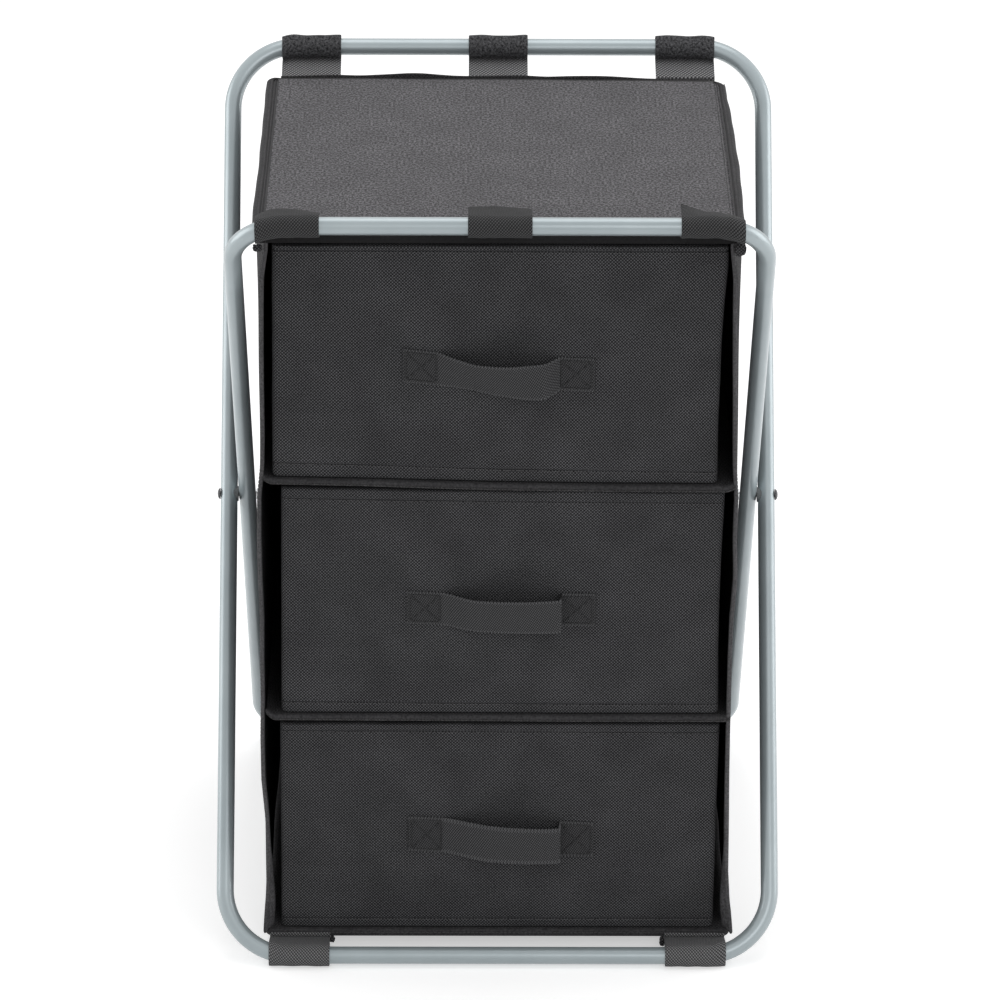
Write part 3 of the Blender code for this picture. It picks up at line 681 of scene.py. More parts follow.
def strap_surface(node, half_width, bend_radius, sign, end_sign, front, upper, landing):
    """A strap's middle surface: its section carried along the bar and round the start of its bends."""
    low, high = packed_box(node)
    x = spaced(low[0], high[0], 26, 0.0006)
    along3 = lean_of(sign)
    along = along3[1:] * end_sign
    across = np.array([-along[1], along[0]])
    bar = np.array([0.0, PIVOT[2]]) + along * LOOP_HALF_LENGTH
    y = CASE_HIGH[1] - PANEL_EDGE_ROUND
    z = CASE_HIGH[2] - PANEL_EDGE_ROUND if upper else CASE_LOW[2] + PANEL_EDGE_ROUND
    middle = np.array([-y if front else y, z])
    outward = middle - [0.0, PIVOT[2]]
    edge = middle + outward / np.linalg.norm(outward) * (PANEL_EDGE_ROUND + GAP + STRAP_THICKNESS / 2)
    inward_sign = math.copysign(1.0, edge[0] - bar[0])
    straight = half_width - bend_radius
    bend = np.arcsin(np.maximum(np.abs(x) - straight, 0.0) / bend_radius)
    stretch = 1 / np.cos(bend)
    centre = bar[None] - along[None] * (bend_radius * (1 - np.cos(bend)))[:, None]
    reach = edge[None] - centre
    up = np.array([along[1], across[1]])
    inward = np.array([along[0], across[0]]) * inward_sign
    line_a, line_c = strap_line(reach @ along / stretch, reach @ across, up, inward,
                                -inward_sign * end_sign, landing)
    place = centre[None] + (line_a * stretch)[..., None] * along + line_c[..., None] * across
    if not upper:
        # The loop hangs level where its bar bends away
        below = np.clip(centre[None, :, 1] - place[..., 1], 0, STRAP_MIDDLE) / STRAP_MIDDLE
        below = below * smooth_step(np.arange(len(place)), 0.0, 12.0)[:, None]
        place[..., 1] -= below * (centre[:, 1] - bar[1])[None]
    if landing:
        # The sewn end laps onto the panel's outer face
        lap = np.empty((3, len(x), 2))
        lap[..., 0] = math.copysign(CASE_HIGH[1] + GAP + STRAP_THICKNESS / 2, middle[0])
        lap[..., 1] = (z + np.array([-0.0025, -0.0015, 0.0]) * (1 if upper else -1))[:, None]
        place = np.concatenate([lap, place])
    surface = points_at(x[None], place[..., 0], place[..., 1])
    length = length_along(surface[:, len(x) // 2])
    return x, length, surface, points_at(x[None], length[:, None]), centre


# How far each flap's free end hangs below its straight line, by place across the strap (m)
FLAP_HANG = {
    "left": ((0.0, 0.010, 0.030, 0.0475), (0.0012, 0.0002, 0.0016, 0.0046)),
    "middle": ((0.0, 0.020, 0.040, 0.0475), (-0.0006, -0.0014, 0.0002, 0.0012)),
    "right": ((0.0, 0.006, 0.018, 0.034, 0.0475), (-0.0040, -0.0014, 0.0026, 0.0036, 0.0034)),
}


def strap(node, shape, upper, landing, body, finish, seed):
    """One strap: cloth slightly uneven outwards, with a loose lip over its bar or a hanging flap."""
    x, length, surface, flat, centre = shape
    rows = len(length)
    ring = smooth_step(np.arange(rows), 12.0, 16.0)
    uneven = ripple(flat[..., 0], flat[..., 1], 0.016, seed)
    normal = normals_of(surface)
    from_bar = surface[..., 1:] - centre[None]
    outward = np.sign((from_bar * normal[..., 1:]).sum(-1))
    lift = 0.00025 * (1 + uneven) * smooth_step(length, 0.004, 0.012)[:, None]
    if upper and landing:
        above = from_bar[..., 1] / np.linalg.norm(from_bar, axis=-1)
        loose = 0.6 + 0.4 * np.sin(x * 90 + seed)[None] ** 2
        lift = lift + 0.0013 * smooth_step(above, 0.86, 1.0) * ring[:, None] * loose
        behind = bell(above, 0.80, 0.05) * (from_bar[..., 1] > 0) * (from_bar[..., 0] < 0)
        lift = lift - 0.0002 * behind
    surface = surface + normal * (outward * lift)[..., None]
    if landing is None:
        share = np.clip((length - length[-1] + STRAP_FLAP) / STRAP_FLAP, 0, 1)[:, None]
        places, hang = FLAP_HANG[node.split("_")[-1]]
        surface[..., 2] -= share ** 1.4 * np.interp(x - x[0], places, hang)[None]
        surface[..., 1] -= share * 0.0010 * uneven
    part = cloth(surface, flat, STRAP_THICKNESS, rounded_off(length, THIN_RIM), rounded_off(x, THIN_RIM))
    part[0][:, 2] = np.maximum(part[0][:, 2], 0.0)
    marks = np.tile(np.repeat(ring, len(x)), 2)
    piece = add_piece(node.replace("strap", "sewn_strap"), part, finish, marks=marks)
    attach(piece, body)
    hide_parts(node)
    if upper and landing:
        edge = surface[-3] + normal[-3] * outward[-3][:, None] * (STRAP_THICKNESS / 2)
        threads = sewn_lines(f"{node}_stitching", [edge[2:-2]], (0, -0.4, 1), GREY_THREAD, radius=0.0002)
        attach(threads, body)


def all_straps():
    """Three straps on each top bar and two on each bottom bar."""
    rows = (
        ("back_top", "outer_frame", 1, False, True, BACK_TOP_LANDING, FINE_TWILL),
        ("front_top", "inner_frame", 1, True, True, None, COARSE_TWILL),
        ("front_bottom", "outer_frame", -1, True, False, BOTTOM_LANDING, LOW_TWILL),
        ("back_bottom", "inner_frame", -1, False, False, BOTTOM_LANDING, LOW_TWILL),
    )
    loops = {"outer_frame": (OUTER_HALF, OUTER_BEND, 1), "inner_frame": (INNER_HALF, INNER_BEND, -1)}
    for number, (row, body, end_sign, front, upper, landing, finish) in enumerate(rows):
        for place in ("left", "middle", "right"):
            node = f"strap_{row}_{place}"
            if node in frame["nodes"]:
                shape = strap_surface(node, *loops[body], end_sign, front, upper, landing)
                strap(node, shape, upper, landing, body, finish, 10 * number + len(place))


# The case

# The top's outer edges, and how many times narrower than its profile the flange at each side is
TOP_LEFT = 0.1858
TOP_RIGHT = 0.1820
LEFT_NARROWING = 1.13
RIGHT_NARROWING = 1.30

# Where a shelf's sides start to be drawn up to the walls, and over what width
PULLED_FROM = 0.1725
PULLED_OVER = 0.0072

# The side walls' front hems: their width, and the height that their walls start at
HEM_WIDTH = 0.0085
WALL_LOW = 0.0185


def drawn_in(y, radius):
    """How far a panel's long sides draw in near its ends, for round corners in plan: r - sqrt(r^2 - d^2)."""
    past = np.clip(np.abs(y) - (CASE_HIGH[1] - radius), 0, radius)
    return radius - np.sqrt(radius ** 2 - past ** 2)


def corner_spaced(count, radius):
    """Places from the case's middle to its end in y, closer together round a corner."""
    arc = CASE_HIGH[1] - radius + radius * np.sin(np.linspace(0, math.pi / 2, 14))
    return np.unique(np.concatenate([np.linspace(0, CASE_HIGH[1] - radius, count), arc]))


def edge_drop(edge, round_size):
    """How far a rounded edge falls at a distance from it: a quarter circle of the given size."""
    share = np.clip(edge / round_size, 0, 1)
    return round_size * (1 - np.sqrt(share * (2 - share)))


def top_profile(inset):
    """Height of the top panel by the distance from its outer edge: a seam flange, two grooves, the field."""
    spots = np.array([0.0, 0.4, 1.2, 5.2, 6.2, 7.1, 7.9, 8.8, 9.7, 12.0]) / 1000
    drops = np.array([2.2, 1.3, 0.8, 0.9, 2.6, 1.1, 0.9, 2.1, 0.3, 0.0]) / 1000
    return -np.interp(inset, spots, drops)


def back_edge_lean(x, y):
    """How much higher the top's back edge is on the left than on the right, by place."""
    return -0.0009 * x / TOP_RIGHT * smooth_step(y, 0.05, 0.18)


def top_panel(back):
    """Half of the case's top: crowned field, sewn flanges at its sides and a rolled long edge."""
    side = 1 if back else -1
    flange = 0.0125
    near = spaced(0, flange, 34)
    field = np.linspace(-TOP_LEFT + flange, TOP_RIGHT - flange, 90)[1:-1]
    x0 = np.concatenate([-TOP_LEFT + near, field, (TOP_RIGHT - near)[::-1]])
    y0 = corner_spaced(60, 0.014 if back else 0.004)
    x, y = np.meshgrid(x0, y0)
    inset = np.minimum((x + TOP_LEFT) * LEFT_NARROWING, (TOP_RIGHT - x) * RIGHT_NARROWING)
    outer = 1 - smooth_step(inset, 0.0, 0.010)
    top = CASE_HIGH[2] + top_profile(inset)
    top += 0.0004 * (1 - (x / TOP_LEFT) ** 2) + 0.00022 * ripple(x, y * side, 0.085, 3)
    top += 0.00030 * ripple(x, y * side, 0.035, 4) * outer
    crease = np.abs((x + 0.067) * 0.9 + (y * side + 0.109) * 0.44)
    top += 0.0006 * np.exp(-(crease / 0.0018) ** 2) * bell(y * side, -0.109, 0.02) * bell(x, -0.067, 0.02)
    top -= edge_drop(CASE_HIGH[1] - y, PANEL_EDGE_ROUND)
    top += back_edge_lean(x, y * side)
    bottom = np.full_like(x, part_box("case_top")[0][2] + 0.0004)
    bottom = np.where(inset < 0.0040, CASE_HIGH[2] - 0.0036, bottom)
    half = np.where(x < 0, TOP_LEFT, TOP_RIGHT)
    corner = np.where(x < 0, 0.009, 0.014) if back else 0.004
    shrink = 1 - drawn_in(y, corner) / half
    wave = 0.00035 * ripple(y * side + 0 * x, np.sign(x) * 0.3, 0.075, 5) * outer
    swell = np.interp(y * side, (-0.18, -0.13, -0.07, 0.065, 0.10, 0.137, 0.18),
                      (0.0010, 0.0018, 0.0028, 0.0029, 0.0020, 0.0008, -0.0004))
    x = x * shrink + wave + swell * np.clip((x - 0.1740) / 0.0080, 0, 1)
    name = "top_panel_back" if back else "top_panel_front"
    # Its cloth is painted lighter for the light from above, with painted shade on its side flanges and long
    # edges.
    piece = add_piece(name, plate(x, y * side, top, bottom), TOP_CLOTH_PAINTED_LIGHT_AND_SHADE, PANEL_CREASE)
    on_case_and_loop(piece, ("case_top",))
    return points_at(x, y * side, top), x0


def sewn_lines(name, paths, outward, finish, **sizes):
    """Stitched lines along several paths, as one piece."""
    parts = [stitches(path, outward, **sizes) for path in paths]
    return add_piece(name, gather(parts), finish, SMALL_CREASE)


def top_trim(back, surface, x0):
    """Stitching along the flanges of half of the top."""
    name = "back" if back else "front"
    paths = []
    for inset in (0.0030, 0.0106):
        for edge in (-TOP_LEFT + inset / LEFT_NARROWING, TOP_RIGHT - inset / RIGHT_NARROWING):
            column = int(np.argmin(np.abs(x0 - edge)))
            paths.append(surface[:-9, column] + [0, 0, 0.0001])
    threads = sewn_lines(f"top_stitching_{name}", paths, (0, 0, 1), DARK_THREAD, radius=0.0003)
    on_case_and_loop(threads)


def standing_hem():
    """The top's back hem: a folded strip on edge, held down at the straps and waving up between."""
    x = spaced(-CASE_HIGH[0] + 0.008, CASE_HIGH[0] - 0.0138, 150, 0.001)
    up = spaced(0, 1, 8, 0.08)
    spots = (-0.176, -0.127, -0.115, -0.100, -0.066, -0.042, -0.030,
             0.023, 0.034, 0.060, 0.085, 0.105, 0.118, 0.176)
    heights = (0.0010, 0.0027, 0.0019, 0.0028, 0.0049, 0.0028, 0.0022,
               0.0033, 0.0018, 0.0031, 0.0031, 0.0018, 0.0010, 0.0006)
    crest = np.interp(x, spots, heights) + back_edge_lean(x, 0.18)
    crest = np.convolve(np.pad(crest, 4, mode="edge"), np.ones(9) / 9, mode="valid")
    base = CASE_HIGH[2] - 0.0040
    z = base + up[:, None] * (CASE_HIGH[2] + crest - base)[None]
    lean = 0.0010 * up[:, None] * (crest / 0.004)[None]
    y = CASE_HIGH[1] - 0.0019 - lean + 0.0003 * np.sin(x * 80)[None] * up[:, None]
    part = cloth(points_at(x, y, z), points_at(x, z - CASE_HIGH[2]), 0.0014, rounded_off(up, 0.15),
                 rounded_off(x, WALL_RIM))
    # Its cloth has a raised tone, painted light against the shade the hem stands in.
    piece = add_piece("top_standing_hem", part, HEM_CLOTH_PAINTED_LIGHT)
    on_case_and_loop(piece)


def bottom_panel(back):
    """Half of the case's bottom: a flat boarded sleeve with rounded corners and a rolled outer edge."""
    side = 1 if back else -1
    half = CASE_HIGH[0]
    low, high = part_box("case_bottom")
    x0 = spaced(-half, half, 70, 0.0014)
    y0 = corner_spaced(40, 0.008)
    x, y = np.meshgrid(x0, y0)
    fall = np.maximum(edge_drop(CASE_HIGH[1] - y, PANEL_EDGE_ROUND),
                      edge_drop(half - np.abs(x), PANEL_EDGE_ROUND))
    middle = (low[2] + high[2]) / 2
    thick = (high[2] - low[2]) / 2 - fall
    x = x * (1 - drawn_in(y, 0.008) / half)
    name = "bottom_panel_back" if back else "bottom_panel_front"
    part = plate(x, y * side, middle + thick, middle - thick)
    piece = add_piece(name, part, SHELF_CLOTH, PANEL_CREASE)
    on_case_and_loop(piece, ("case_bottom",))
    seam_x = np.linspace(-half + 0.010, half - 0.010, 60)
    path = points_at(seam_x, side * (CASE_HIGH[1] + 0.0001), middle + 0.0006)
    threads = sewn_lines(f"{name}_stitching", [path], (0, side, 0), GREY_THREAD, radius=0.00022)
    on_case_and_loop(threads)


# How far the soft parts have settled at the front, by place from left to right (m)
UPPER_SETTLING = ((-0.17, 0.0), (-0.096, 0.0015), (0.0, 0.0040), (0.08, 0.0050), (0.17, 0.0053))
LOWER_SETTLING = ((-0.17, 0.0), (0.0, 0.0003), (0.05, 0.0006), (0.17, 0.0004))
MIDDLE_RIM_SETTLING = ((-0.17, 0.0), (-0.09, 0.0011), (0.0, 0.0022), (0.17, 0.0030))
NOT_SETTLED = ((-0.17, 0.0), (0.17, 0.0))
SHELF_LINE_RAISE = {"upper_shelf": ((-0.17, 0.0013), (-0.10, 0.0013), (-0.05, 0.0006), (0.17, 0.0004)),
                    "lower_shelf": ((-0.17, 0.0013), (-0.05, 0.0010), (0.17, 0.0005))}
SHELVES = {"upper_shelf": (UPPER_SETTLING, 0.0040, 0.0030), "lower_shelf": (LOWER_SETTLING, 0.0060, 0.0012)}


def read_off(table, x):
    """A table of places and values read at x."""
    return np.interp(x, *np.array(table).T)


def front_share(y):
    """1 at the case's front edge, falling smoothly to 0 over 140 mm of depth."""
    return 1 - smooth_step(y, -0.170, -0.030)


def shelf_sunk(node, x, y):
    """How far a shelf has sunk at a place: by its table at the front, less where its sides are drawn up."""
    settling, left_rise, right_rise = SHELVES[node]
    near = 1 - smooth_step(y, -0.179, -0.1695)
    left = left_rise * np.clip((-PULLED_FROM - x) / PULLED_OVER, 0, 1) ** 1.5
    right = right_rise * np.clip((x - PULLED_FROM) / PULLED_OVER, 0, 1) ** 1.5
    return read_off(settling, x) * front_share(y) - (left + right) * (0.35 + 0.65 * near)


def shelf(node):
    """A boarded shelf: a flat sleeve, settled at the front, its sides drawn up to the walls."""
    low, high = packed_box(node)
    x0 = np.unique(np.concatenate([spaced(low[0], high[0], 70, 0.0015), low[0] + np.linspace(0, 0.014, 14),
                                   high[0] - np.linspace(0, 0.014, 14)]))
    y0 = np.unique(np.concatenate([spaced(low[1], high[1], 50, 0.0015), low[1] + np.linspace(0, 0.012, 14)]))
    x, y = np.meshgrid(x0, y0)
    middle = (low[2] + high[2]) / 2
    half = (high[2] - low[2]) / 2
    fall = np.maximum(edge_drop(np.minimum(y - low[1], high[1] - y), 0.0022),
                      edge_drop(np.minimum(x - low[0], high[0] - x), 0.0016))
    near = 1 - smooth_step(y, low[1] + 0.001, low[1] + 0.0105)
    drop = shelf_sunk(node, x, y)
    raised = read_off(SHELF_LINE_RAISE[node], x) * near
    front = points_at(x, y, middle + half - fall - drop)
    behind = points_at(x, y, middle - half + fall * 0.6 + raised - drop)
    part = shell(front, behind, points_at(x, y))
    piece = add_piece(f"{node}_sleeve", part, SHELF_CLOTH, PANEL_CREASE)
    on_case(piece, nodes=(node,))
    line = behind[0] * 0.75 + front[0] * 0.25
    welt_line = line[1:-1] + [0, -0.0002, -0.0004]
    on_case(add_piece(f"{node}_welt", bead(welt_line, 0.0006), WELT_CLOTH))


def bead(path, radius):
    """A round cord of cloth along a path that runs mostly along X, with drawn-in ends."""
    turn = np.linspace(0, 2 * math.pi, 12, endpoint=False)
    ends = np.minimum(np.arange(len(path)), np.arange(len(path))[::-1])
    size = radius * np.where(ends == 0, 0.15, 1.0)
    offset = points_at(0.0, np.cos(turn), np.sin(turn))
    surface = path[:, None] + size[:, None, None] * offset[None]
    return capped(surface, points_at(path[:, :1], np.append(turn, 2 * math.pi) * radius))


# Outer edge of the side walls' front hems by height: how far each stands out from the case's side
HEM_HEIGHTS = np.array([0.021, 0.043, 0.078, 0.114, 0.148, 0.183, 0.217, 0.251, 0.285, 0.319,
                        0.352, 0.386, 0.410, 0.435, 0.468, 0.500, 0.533, 0.565, 0.588])
HEM_LEFT = np.array([1.35, -0.65, -2.65, -1.65, 1.05, 1.25, 0.45, 0.55, 0.05, 1.15,
                     1.45, 0.95, -1.65, -2.35, -2.35, -2.45, -2.85, -3.55, -7.00]) / 1000
HEM_RIGHT = np.array([2.65, -0.15, -2.45, -3.05, -3.25, -3.25, -3.25, -3.05, -2.45, -0.15,
                      -1.25, -0.75, -2.45, -3.05, -3.65, -4.45, -5.05, -5.45, -8.00]) / 1000


def side_wall(side):
    """A side of the case: a sheet whose front hem is doubled and wanders in and out with height.

    Towards its free lower end the hem turns outwards and its outer corner hangs lower.
    """
    name = "left" if side < 0 else "right"
    node = f"case_{name}_side"
    low, high = packed_box(node)
    front_part = spaced(low[1], low[1] + 0.014, 22, 0.0010)
    y0 = np.unique(np.concatenate([front_part, np.linspace(low[1] + 0.014, high[1], 60)]))
    z0 = spaced(WALL_LOW, CASE_HIGH[2] - 0.0042, 130, WALL_RIM)
    y, z = np.meshgrid(y0, z0)
    hem = HEM_LEFT if side < 0 else HEM_RIGHT
    near = 1 - smooth_step(y, low[1], low[1] + 0.055)
    depth = y - low[1]
    thick = 0.0019 + 0.0010 * (1 - smooth_step(depth, HEM_WIDTH, 0.0095))
    out = np.interp(z, HEM_HEIGHTS, hem) * near
    out += 0.0006 * ripple(y, z, 0.12, 7 + side) * (1 - near) * smooth_step(high[1] - y, 0.0, 0.03)
    open_end = 1 - smooth_step(z, 0.024, 0.095)
    turned = 0.0060 * open_end * smooth_step(depth, 0.0002, HEM_WIDTH)
    out -= turned * (1 - smooth_step(depth, HEM_WIDTH, 0.040))
    x = side * (CASE_HIGH[0] - thick / 2 + out)
    corner = np.clip(1 - depth / HEM_WIDTH, 0, 1) * (1 - smooth_step(z0, WALL_LOW, 0.034))[:, None]
    z = z - 0.0050 * corner
    surface = points_at(x, y, z)
    part = cloth(surface, points_at(y, z), thick, rounded_off(z0, WALL_RIM), rounded_off(y0, 0.0012))
    # Its cloth has a raised tone, painted light for the narrow gaps beside the drawers, and is lightest on
    # its edge bands.
    piece = add_piece(f"side_wall_{name}", part, SIDE_CLOTH_PAINTED_LIGHT)
    on_case(piece, nodes=(node,))
    column = int(np.argmin(np.abs(y0 - (low[1] + 0.0070))))
    threads = [surface[3:-3, column] + [face * 0.0015, 0, 0] for face in (-1, 1)]
    stitching = sewn_lines(f"side_stitching_{name}", threads, (1, 0, 0), DARK_THREAD, radius=0.0003)
    on_case(stitching)
    return piece, stitching


def crumpled(centre, size, seed):
    """A small tuck of gathered cloth: an ellipsoid squared a little, with its radius rippled."""
    around = np.linspace(0, 2 * math.pi, 28, endpoint=False)[None]
    up = np.linspace(-math.pi / 2 + 0.04, math.pi / 2 - 0.04, 18)[:, None]
    shape = points_at(np.cos(up) * np.cos(around), np.cos(up) * np.sin(around), np.sin(up))
    shape = np.sign(shape) * np.abs(shape) ** 0.75
    radius = 1 + 0.16 * ripple(shape[..., 0] + shape[..., 1], shape[..., 2], 0.9, seed)
    surface = np.array(centre) + shape * radius[..., None] * np.array(size) / 2
    flat = points_at(surface[..., 0], surface[..., 2])
    return capped(surface, np.concatenate([flat, flat[:, :1]], axis=1))


def corner_tucks():
    """Gathered cloth under the front straps: at the top's front corners and inside the lower straps."""
    top = CASE_HIGH[2] - 0.0080
    for name, place, size, seed in (("right", (0.1787, -0.1815, top - 0.0010), (0.0084, 0.0060, 0.0115), 51),
                                    ("left", (-0.1805, -0.1810, top - 0.0012), (0.0070, 0.0050, 0.0050), 52)):
        tuck = add_piece(f"corner_tuck_{name}", crumpled(place, size, seed), CASE_CLOTH)
        on_case_and_loop(tuck)
    for name in ("left", "right"):
        low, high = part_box(f"strap_front_bottom_{name}")
        inner = high[0] + 0.0015 if name == "left" else low[0] - 0.0015
        height, size = (0.0105, 0.0045) if name == "left" else (0.0090, 0.0075)
        shape = crumpled((inner, -0.1835, height), (0.0042, 0.0050, size), 53)
        tab = add_piece(f"strap_tuck_{name}", shape, CASE_CLOTH)
        on_case_and_loop(tab)


def back_wall():
    """The case's back: a sheet stretched nearly flat, with a few long soft waves."""
    low, high = packed_box("case_back")
    x0 = spaced(low[0] - 0.0007, high[0] + 0.0007, 80, WALL_RIM)
    z0 = spaced(0.0178, CASE_HIGH[2] - 0.0062, 110, WALL_RIM)
    x, z = np.meshgrid(x0, z0)
    inside = smooth_step(x - low[0], 0.0, 0.03) * smooth_step(high[0] - x, 0.0, 0.03)
    y = (low[1] + high[1]) / 2 + 0.0007 * ripple(x, z, 0.16, 21) * inside
    part = cloth(points_at(x, y, z), points_at(x, z), 0.0012, rounded_off(z0, WALL_RIM),
                 rounded_off(x0, WALL_RIM))
    piece = add_piece("back_wall", part, CASE_CLOTH)
    on_case(piece, nodes=("case_back",))
    return piece


def board_piece(name, node, low, high, body, blend_to=None, settle=None):
    """A stiffening board: a plate with slightly eased edges, moved as the cloth round it has settled."""
    near = np.linspace(0, 0.012, 9)
    x0 = np.unique(np.concatenate([spaced(low[0], high[0], 20, THIN_RIM), low[0] + near, high[0] - near]))
    y0 = np.concatenate([spaced(low[1], high[1], 30, THIN_RIM), low[1] + near])
    y0 = np.unique(np.minimum(y0, high[1]))
    x, y = np.meshgrid(x0, y0)
    ease = rounded_off(x0, THIN_RIM)[None] * rounded_off(y0, THIN_RIM)[:, None]
    middle = (low[2] + high[2]) / 2
    thick = (high[2] - low[2]) / 2 - THIN_RIM * (1 - ease)
    front = points_at(x, y, middle + thick)
    behind = points_at(x, y, middle - thick)
    if settle:
        front, behind = settle(front), settle(behind)
    piece = add_piece(name, shell(front, behind, points_at(x, y)), BOARD, SMALL_CREASE)
    if blend_to:
        on_case_and_loop(piece, (node,))
    else:
        on_case(piece, body, (node,))


def boards():
    """The boards of the panels, shelves and drawers."""
    for node, front_loop, back_loop in (("case_top_board", "inner_frame", "outer_frame"),
                                        ("case_bottom_board", "outer_frame", "inner_frame")):
        low, high = packed_box(node)
        front_end = np.array([high[0], 0.0, high[2]])
        back_start = np.array([low[0], 0.0, low[2]])
        board_piece(f"{node}_front_half", node, low, front_end, "case", front_loop)
        board_piece(f"{node}_back_half", node, back_start, high, "case", back_loop)
    for node in SHELVES:
        low, high = packed_box(f"{node}_board")

        def lowered(points, node=node):
            drop = shelf_sunk(node, points[..., 0], points[..., 1])
            return points - drop[..., None] * np.array([0.0, 0.0, 1.0])

        board_piece(f"{node}_board_plate", f"{node}_board", low, high, "case", settle=lowered)


def fabric_case():
    """Top, bottom, shelves, sides, back and their boards."""
    for back in (False, True):
        surface, x0 = top_panel(back)
        top_trim(back, surface, x0)
        bottom_panel(back)
    standing_hem()
    shelf("upper_shelf")
    shelf("lower_shelf")
    corner_tucks()
    for side in (-1, 1):
        wall, stitching = side_wall(side)
    back_wall()
    boards()


# The drawers

def rounded_rectangle(half_x, front, back, radius):
    """Outline of a drawer in plan with its outward normals and lengths, counter-clockwise from behind."""
    corners = ((half_x, back, 1, 1, math.pi / 2, 0.0),
               (half_x, front, 1, -1, 0.0, -math.pi / 2),
               (-half_x, front, -1, -1, -math.pi / 2, -math.pi),
               (-half_x, back, -1, 1, -math.pi, -1.5 * math.pi))
    points, normals = [], []
    straight = (42, 96, 42, 96)
    for number, (x, y, sign_x, sign_y, first, last) in enumerate(corners):
        angle = np.linspace(first, last, 7)
        centre = np.array([x - sign_x * radius, y - sign_y * radius])
        direction = points_at(np.cos(angle), np.sin(angle))
        points.append(centre + radius * direction)
        normals.append(direction)
        after = corners[(number + 1) % 4]
        start = points[-1][-1]
        end_angle = after[4]
        end = np.array([after[0] - after[2] * radius, after[1] - after[3] * radius])
        end = end + radius * np.array([math.cos(end_angle), math.sin(end_angle)])
        share = np.linspace(0, 1, straight[number] + 2)[1:-1, None]
        points.append(start + (end - start) * share)
        normals.append(np.repeat(direction[-1:], straight[number], axis=0))
    return np.concatenate(points), np.concatenate(normals)


# How far each drawer's front edges are drawn in, by height from its bottom (0) to its rim (1), and
# how far its bottom and its rim have settled, by place from left to right (m)
DRAWER_SETTLING = {
    "top_drawer": (((0.0, -0.0012), (1.0, 0.0008)),
                   ((0.0, 0.0052), (0.25, 0.0052), (0.42, 0.0047), (0.60, 0.0039), (0.75, 0.0025),
                    (0.92, 0.0)),
                   UPPER_SETTLING, NOT_SETTLED),
    "middle_drawer": (((0.0, 0.0034), (1.0, 0.0055)),
                      ((0.0, 0.0005), (0.25, 0.0013), (0.50, 0.0016), (0.76, 0.0004), (1.0, -0.0012)),
                      LOWER_SETTLING, MIDDLE_RIM_SETTLING),
    "bottom_drawer": (((0.0, 0.0012), (1.0, 0.0022)),
                      ((0.0, 0.0015), (0.5, 0.0004), (1.0, -0.0008)),
                      NOT_SETTLED, NOT_SETTLED),
}


def settled(points, name):
    """A drawer's points after use: its front edges drawn in, its bottom's front and its rim sunk."""
    low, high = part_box(f"{name}_box")
    left, right, bottom, rim = DRAWER_SETTLING[name]
    x, y, z = points[..., 0], points[..., 1], points[..., 2]
    up = np.clip((z - low[2]) / (high[2] - low[2]), 0, 1)
    share = x / high[0]
    inward = read_off(left, up) * np.clip(-share, 0, 1) - read_off(right, up) * np.clip(share, 0, 1)
    sunk = read_off(bottom, x) * (1 - up) * front_share(y) + read_off(rim, x) * up
    return points_at(x + inward * front_share(y), y, z - sunk)


def raised(plan, height):
    """Points of a plan in x and y, at the height given for each row or point."""
    return points_at(plan[..., 0], plan[..., 1], height)


